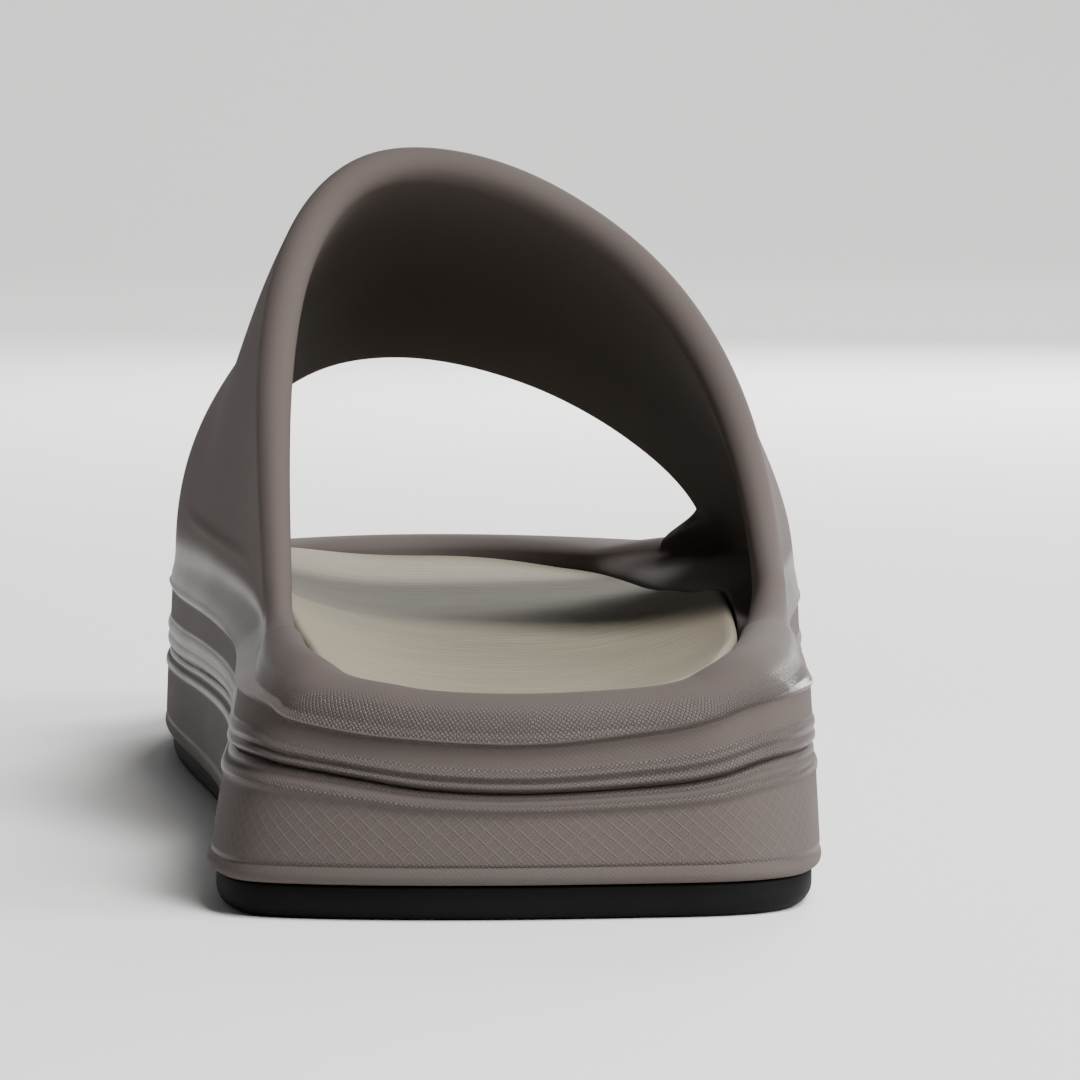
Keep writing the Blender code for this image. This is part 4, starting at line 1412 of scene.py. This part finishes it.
    def roll(self, outer: np.ndarray, inner: np.ndarray, place: np.ndarray,
             grain: np.ndarray, columns: np.ndarray) -> Sheet:
        """Rolled edge between two closed loops, bulging away from the wall.

        Args:
            outer: Loop on the outside, first along the rim, then along the strap.
            inner: Loop on the inside, point for point.
            place: Place marks of the outer loop.
            grain: Grain marks of the outer loop.
            columns: Columns of the part that lies on the rim.

        Returns:
            The sheet of the roll.
        """
        count, upward = len(columns), len(columns) // 2
        along = self.last.along[columns]
        rise = np.full(len(outer), self.edge_rise)
        rise[:count] *= smooth_value(self.roll_table, 1, along)
        crest = np.ones(len(outer))
        crest[:count] = smooth_value(self.roll_table, 2, along)
        middle = 0.5 * (outer + inner)
        away = np.cross(np.roll(middle, -2, axis=0) - np.roll(middle, 2, axis=0), outer - inner)
        away /= np.linalg.norm(away, axis=1)[:, None]
        for _ in range(self.roll_rounds):
            beside = np.roll(away, 1, axis=0) + np.roll(away, -1, axis=0)
            away = 0.5 * away + 0.25 * beside
        away /= np.linalg.norm(away, axis=1)[:, None]
        if away[upward, 2] < 0.0:
            away = -away
        rows = [outer]
        for angle in np.linspace(0.0, math.pi, self.roll_rows)[1:-1]:
            across = (0.5 - 0.5 * math.cos(angle)) ** crest[:, None]
            rows.append(outer + (inner - outer) * across + away * (rise * math.sin(angle))[:, None])
        rows.append(inner)
        points = np.stack(rows)
        up = up_the_wall(points)
        spots = np.stack((np.broadcast_to(place[:, 0], up.shape), place[:, 1] + up), axis=2)
        broad = np.zeros(len(outer))
        broad[:count] = smooth_value(self.roll_table, 1, along) - 1.0
        low, high = (self.roll_fade[i] + self.heel_fade[i] * broad for i in (0, 1))
        fade = 1.0 - soft_step(low, high, up)
        return Sheet(points, spots, grain[None] * fade)

    def build(self) -> bpy.types.Object:
        """Lays the walls, the strap and the two rolled edges, and welds them.

        Returns:
            The piece.
        """
        last = self.last
        top, inner_top = self.wall_top()
        outside = self.outer_wall(top)
        inside = self.inner_wall(inner_top, outside.points[0])
        grid, inner = self.strap(top, inner_top)
        heel, straps = last.heel_columns, last.strap_columns
        medial = np.array([(last.columns - heel - i) % last.columns for i in range(straps + 1)])
        lateral = heel + np.arange(straps + 1)

        up = up_the_wall(grid)
        down = up[-1:] - up
        near = np.minimum(up, down)
        rim = outside.place[-1]
        base = np.where((up < down)[:, :, None], rim[medial][None], rim[lateral][None])
        place = np.stack((base[:, :, 0], base[:, :, 1] + near), axis=2)
        grain = 1.0 - soft_step(*self.strap_fade, near)

        heel_ids = np.arange(-heel, heel + 1) % last.columns
        toe_ids = last.side_columns + np.arange(-last.toe_columns, last.toe_columns + 1)
        back, front = slice(-2, 0, -1), slice(1, -1)

        def loop(ring: np.ndarray, rows: np.ndarray, ids: np.ndarray, part: slice,
                 column: int) -> np.ndarray:
            """Closed loop of values: along the rim, then along an edge of the strap."""
            return np.concatenate((ring[ids], rows[part, column]))

        parts = [
            outside.lay("upper_wall", last.stand),
            inside.lay("upper_inside", last.stand),
            Sheet(grid, place, grain, closed=False).lay("strap_outside", last.stand),
            Sheet(inner, closed=False).lay("strap_inside", last.stand),
        ]
        rolls = (("collar_roll", heel_ids, back, 0), ("toe_roll", toe_ids, front, -1))
        for name, ids, part, column in rolls:
            edge = self.roll(
                loop(top, grid, ids, part, column), loop(inner_top, inner, ids, part, column),
                loop(outside.place[-1], place, ids, part, column),
                loop(outside.grain[-1], grain, ids, part, column), ids)
            parts.append(edge.lay(name, last.stand))
        item = weld("moulded_upper", parts)
        roots = [0.5 * (top[i] + inner_top[i]) + np.array(last.stand) for i in (heel, -heel)]
        self.ease_roots(item, np.array(roots))
        return item

    def ease_roots(self, item: bpy.types.Object, roots: np.ndarray) -> None:
        """Softens the bend where the strap's rear edges run out into the rim.

        Args:
            item: The upper, which is changed.
            roots: The two points where the edges meet the rim.
        """
        mesh = item.data
        points = np.empty(3 * len(mesh.vertices), dtype=np.float32)
        mesh.vertices.foreach_get("co", points)
        points = points.reshape(-1, 3)
        apart = np.linalg.norm(points[:, None] - roots[None], axis=2)
        lowest = roots[:, 2].min() - self.root_drop
        near = (apart < self.root_reach).any(axis=1) & (points[:, 2] > lowest)
        pick(item)
        bpy.ops.object.mode_set(mode="EDIT")
        bpy.ops.mesh.select_mode(type="VERT")
        bpy.ops.mesh.select_all(action="DESELECT")
        bpy.ops.object.mode_set(mode="OBJECT")
        mesh.vertices.foreach_set("select", near)
        bpy.ops.object.mode_set(mode="EDIT")
        bpy.ops.mesh.vertices_smooth(factor=self.root_factor, repeat=self.root_rounds)
        bpy.ops.object.mode_set(mode="OBJECT")

    def dress(self, item: bpy.types.Object, finish: bpy.types.Material) -> None:
        """Gives the upper its finish and its place in the frame.

        Args:
            item: The piece.
            finish: Its material.
        """
        coat(item, finish)
        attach(item, "root")
        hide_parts("upper")


def turned_to(place: tuple[float, float, float], target: tuple[float, float, float]) -> Euler:
    """Turn of a light or a camera that looks from a place at a target."""
    return (Vector(target) - Vector(place)).to_track_quat("-Z", "Y").to_euler()


@dataclass(frozen=True)
class SoftBox:
    """One square soft light: where it stands, its side, its watts and its target."""

    name: str
    place: tuple[float, float, float]
    side: float
    power: float
    target: tuple[float, float, float] = (0.0, 0.0, 0.04)

    def add(self) -> None:
        """Adds the light and turns it to its target."""
        bpy.ops.object.select_all(action="DESELECT")
        bpy.ops.object.light_add(type="AREA", location=self.place)
        lamp = bpy.context.object
        lamp.name = self.name
        lamp.data.shape = "SQUARE"
        lamp.data.size = self.side
        lamp.data.energy = self.power
        lamp.rotation_euler = turned_to(self.place, self.target)


@dataclass
class Studio:
    """Pale seamless floor, soft lights and the camera at the photo's angle."""

    floor_half: float = 4.0
    floor_rise: float = 3.0
    eye: tuple[float, float, float] = (-0.0621, -0.9390, 0.1110)
    aim: tuple[float, float, float] = (0.0015, -0.0600, 0.0440)
    lens: float = 205.0
    sky: str = "#f2f4f7"
    sky_strength: float = 0.10
    sweep_radius: float = 1.5
    sweep_rows: int = 24
    sensor: float = 36.0
    clip_end: float = 30.0

    # Behind to the right, above, through the toe opening, right, and backdrop
    boxes: tuple[SoftBox, ...] = (
        SoftBox("key_box", (0.70, -1.10, 0.95), 0.5, 13.0),
        SoftBox("top_box", (0.50, -0.45, 1.40), 0.6, 28.0),
        SoftBox("front_box", (0.42, 1.30, 0.60), 0.5, 17.0),
        SoftBox("right_box", (1.45, -0.45, 0.60), 0.8, 22.0),
        SoftBox("backdrop_box", (0.40, 1.7, 1.9), 1.4, 56.0, (0.0, 3.2, 0.3)),
    )

    def floor(self, finish: bpy.types.Material) -> bpy.types.Object:
        """Sweep of paper: a plane whose far edge is drawn up and rounded.

        Args:
            finish: The paper.

        Returns:
            The floor.
        """
        bpy.ops.object.select_all(action="DESELECT")
        bpy.ops.mesh.primitive_plane_add(size=2.0 * self.floor_half)
        item = bpy.context.object
        item.name = "studio_floor"
        bpy.ops.object.mode_set(mode="EDIT")
        bpy.ops.mesh.select_all(action="DESELECT")
        bpy.ops.mesh.select_mode(type="EDGE")
        bpy.ops.object.mode_set(mode="OBJECT")
        for edge in item.data.edges:
            ends = [item.data.vertices[i].co.y for i in edge.vertices]
            edge.select = min(ends) > 0.99 * self.floor_half
        bpy.ops.object.mode_set(mode="EDIT")
        bpy.ops.mesh.extrude_region_move(
            TRANSFORM_OT_translate={"value": (0.0, 0.0, self.floor_rise)})
        bpy.ops.object.mode_set(mode="OBJECT")
        turn = item.modifiers.new("sweep", "BEVEL")
        turn.width = self.sweep_radius
        turn.segments = self.sweep_rows
        turn.limit_method = "ANGLE"
        bpy.ops.object.modifier_apply(modifier=turn.name)
        bpy.ops.object.shade_smooth()
        item.data.materials.append(finish)
        return item

    def lights(self) -> None:
        """Adds the soft boxes, and the pale room round them."""
        for box in self.boxes:
            box.add()
        world = bpy.data.worlds.new("studio_room")
        bpy.context.scene.world = world
        world.use_nodes = True
        fill(world.node_tree, world.node_tree.nodes["Background"], {
            "Color": linear(self.sky), "Strength": self.sky_strength})

    def camera(self) -> None:
        """Camera behind the shoe and to its left, looking slightly down."""
        data = bpy.data.cameras.new("view_from_behind")
        item = bpy.data.objects.new("view_from_behind", data)
        bpy.context.scene.collection.objects.link(item)
        data.lens = self.lens
        data.sensor_width = self.sensor
        data.clip_end = self.clip_end
        item.location = self.eye
        item.rotation_euler = turned_to(self.eye, self.aim)
        bpy.context.scene.camera = item


def main() -> None:
    """Builds, dresses and reports each piece, then the studio."""
    logging.basicConfig(level=logging.INFO, format="%(name)s: %(message)s")
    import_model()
    last = Last()
    foam = MouldedFoam().material()
    finishes = {
        Outsole: TreadRubber().material(),
        Midsole: foam,
        Footbed: FootbedFoam().material(),
        Upper: foam,
    }
    for maker, finish in finishes.items():
        piece = maker(last)
        item = piece.build()
        piece.dress(item, finish)
        LOG.info("%s: %d faces", item.name, len(item.data.polygons))
    studio = Studio()
    studio.floor(StudioPaper().material())
    studio.lights()
    studio.camera()


if __name__ == "__main__":
    main()
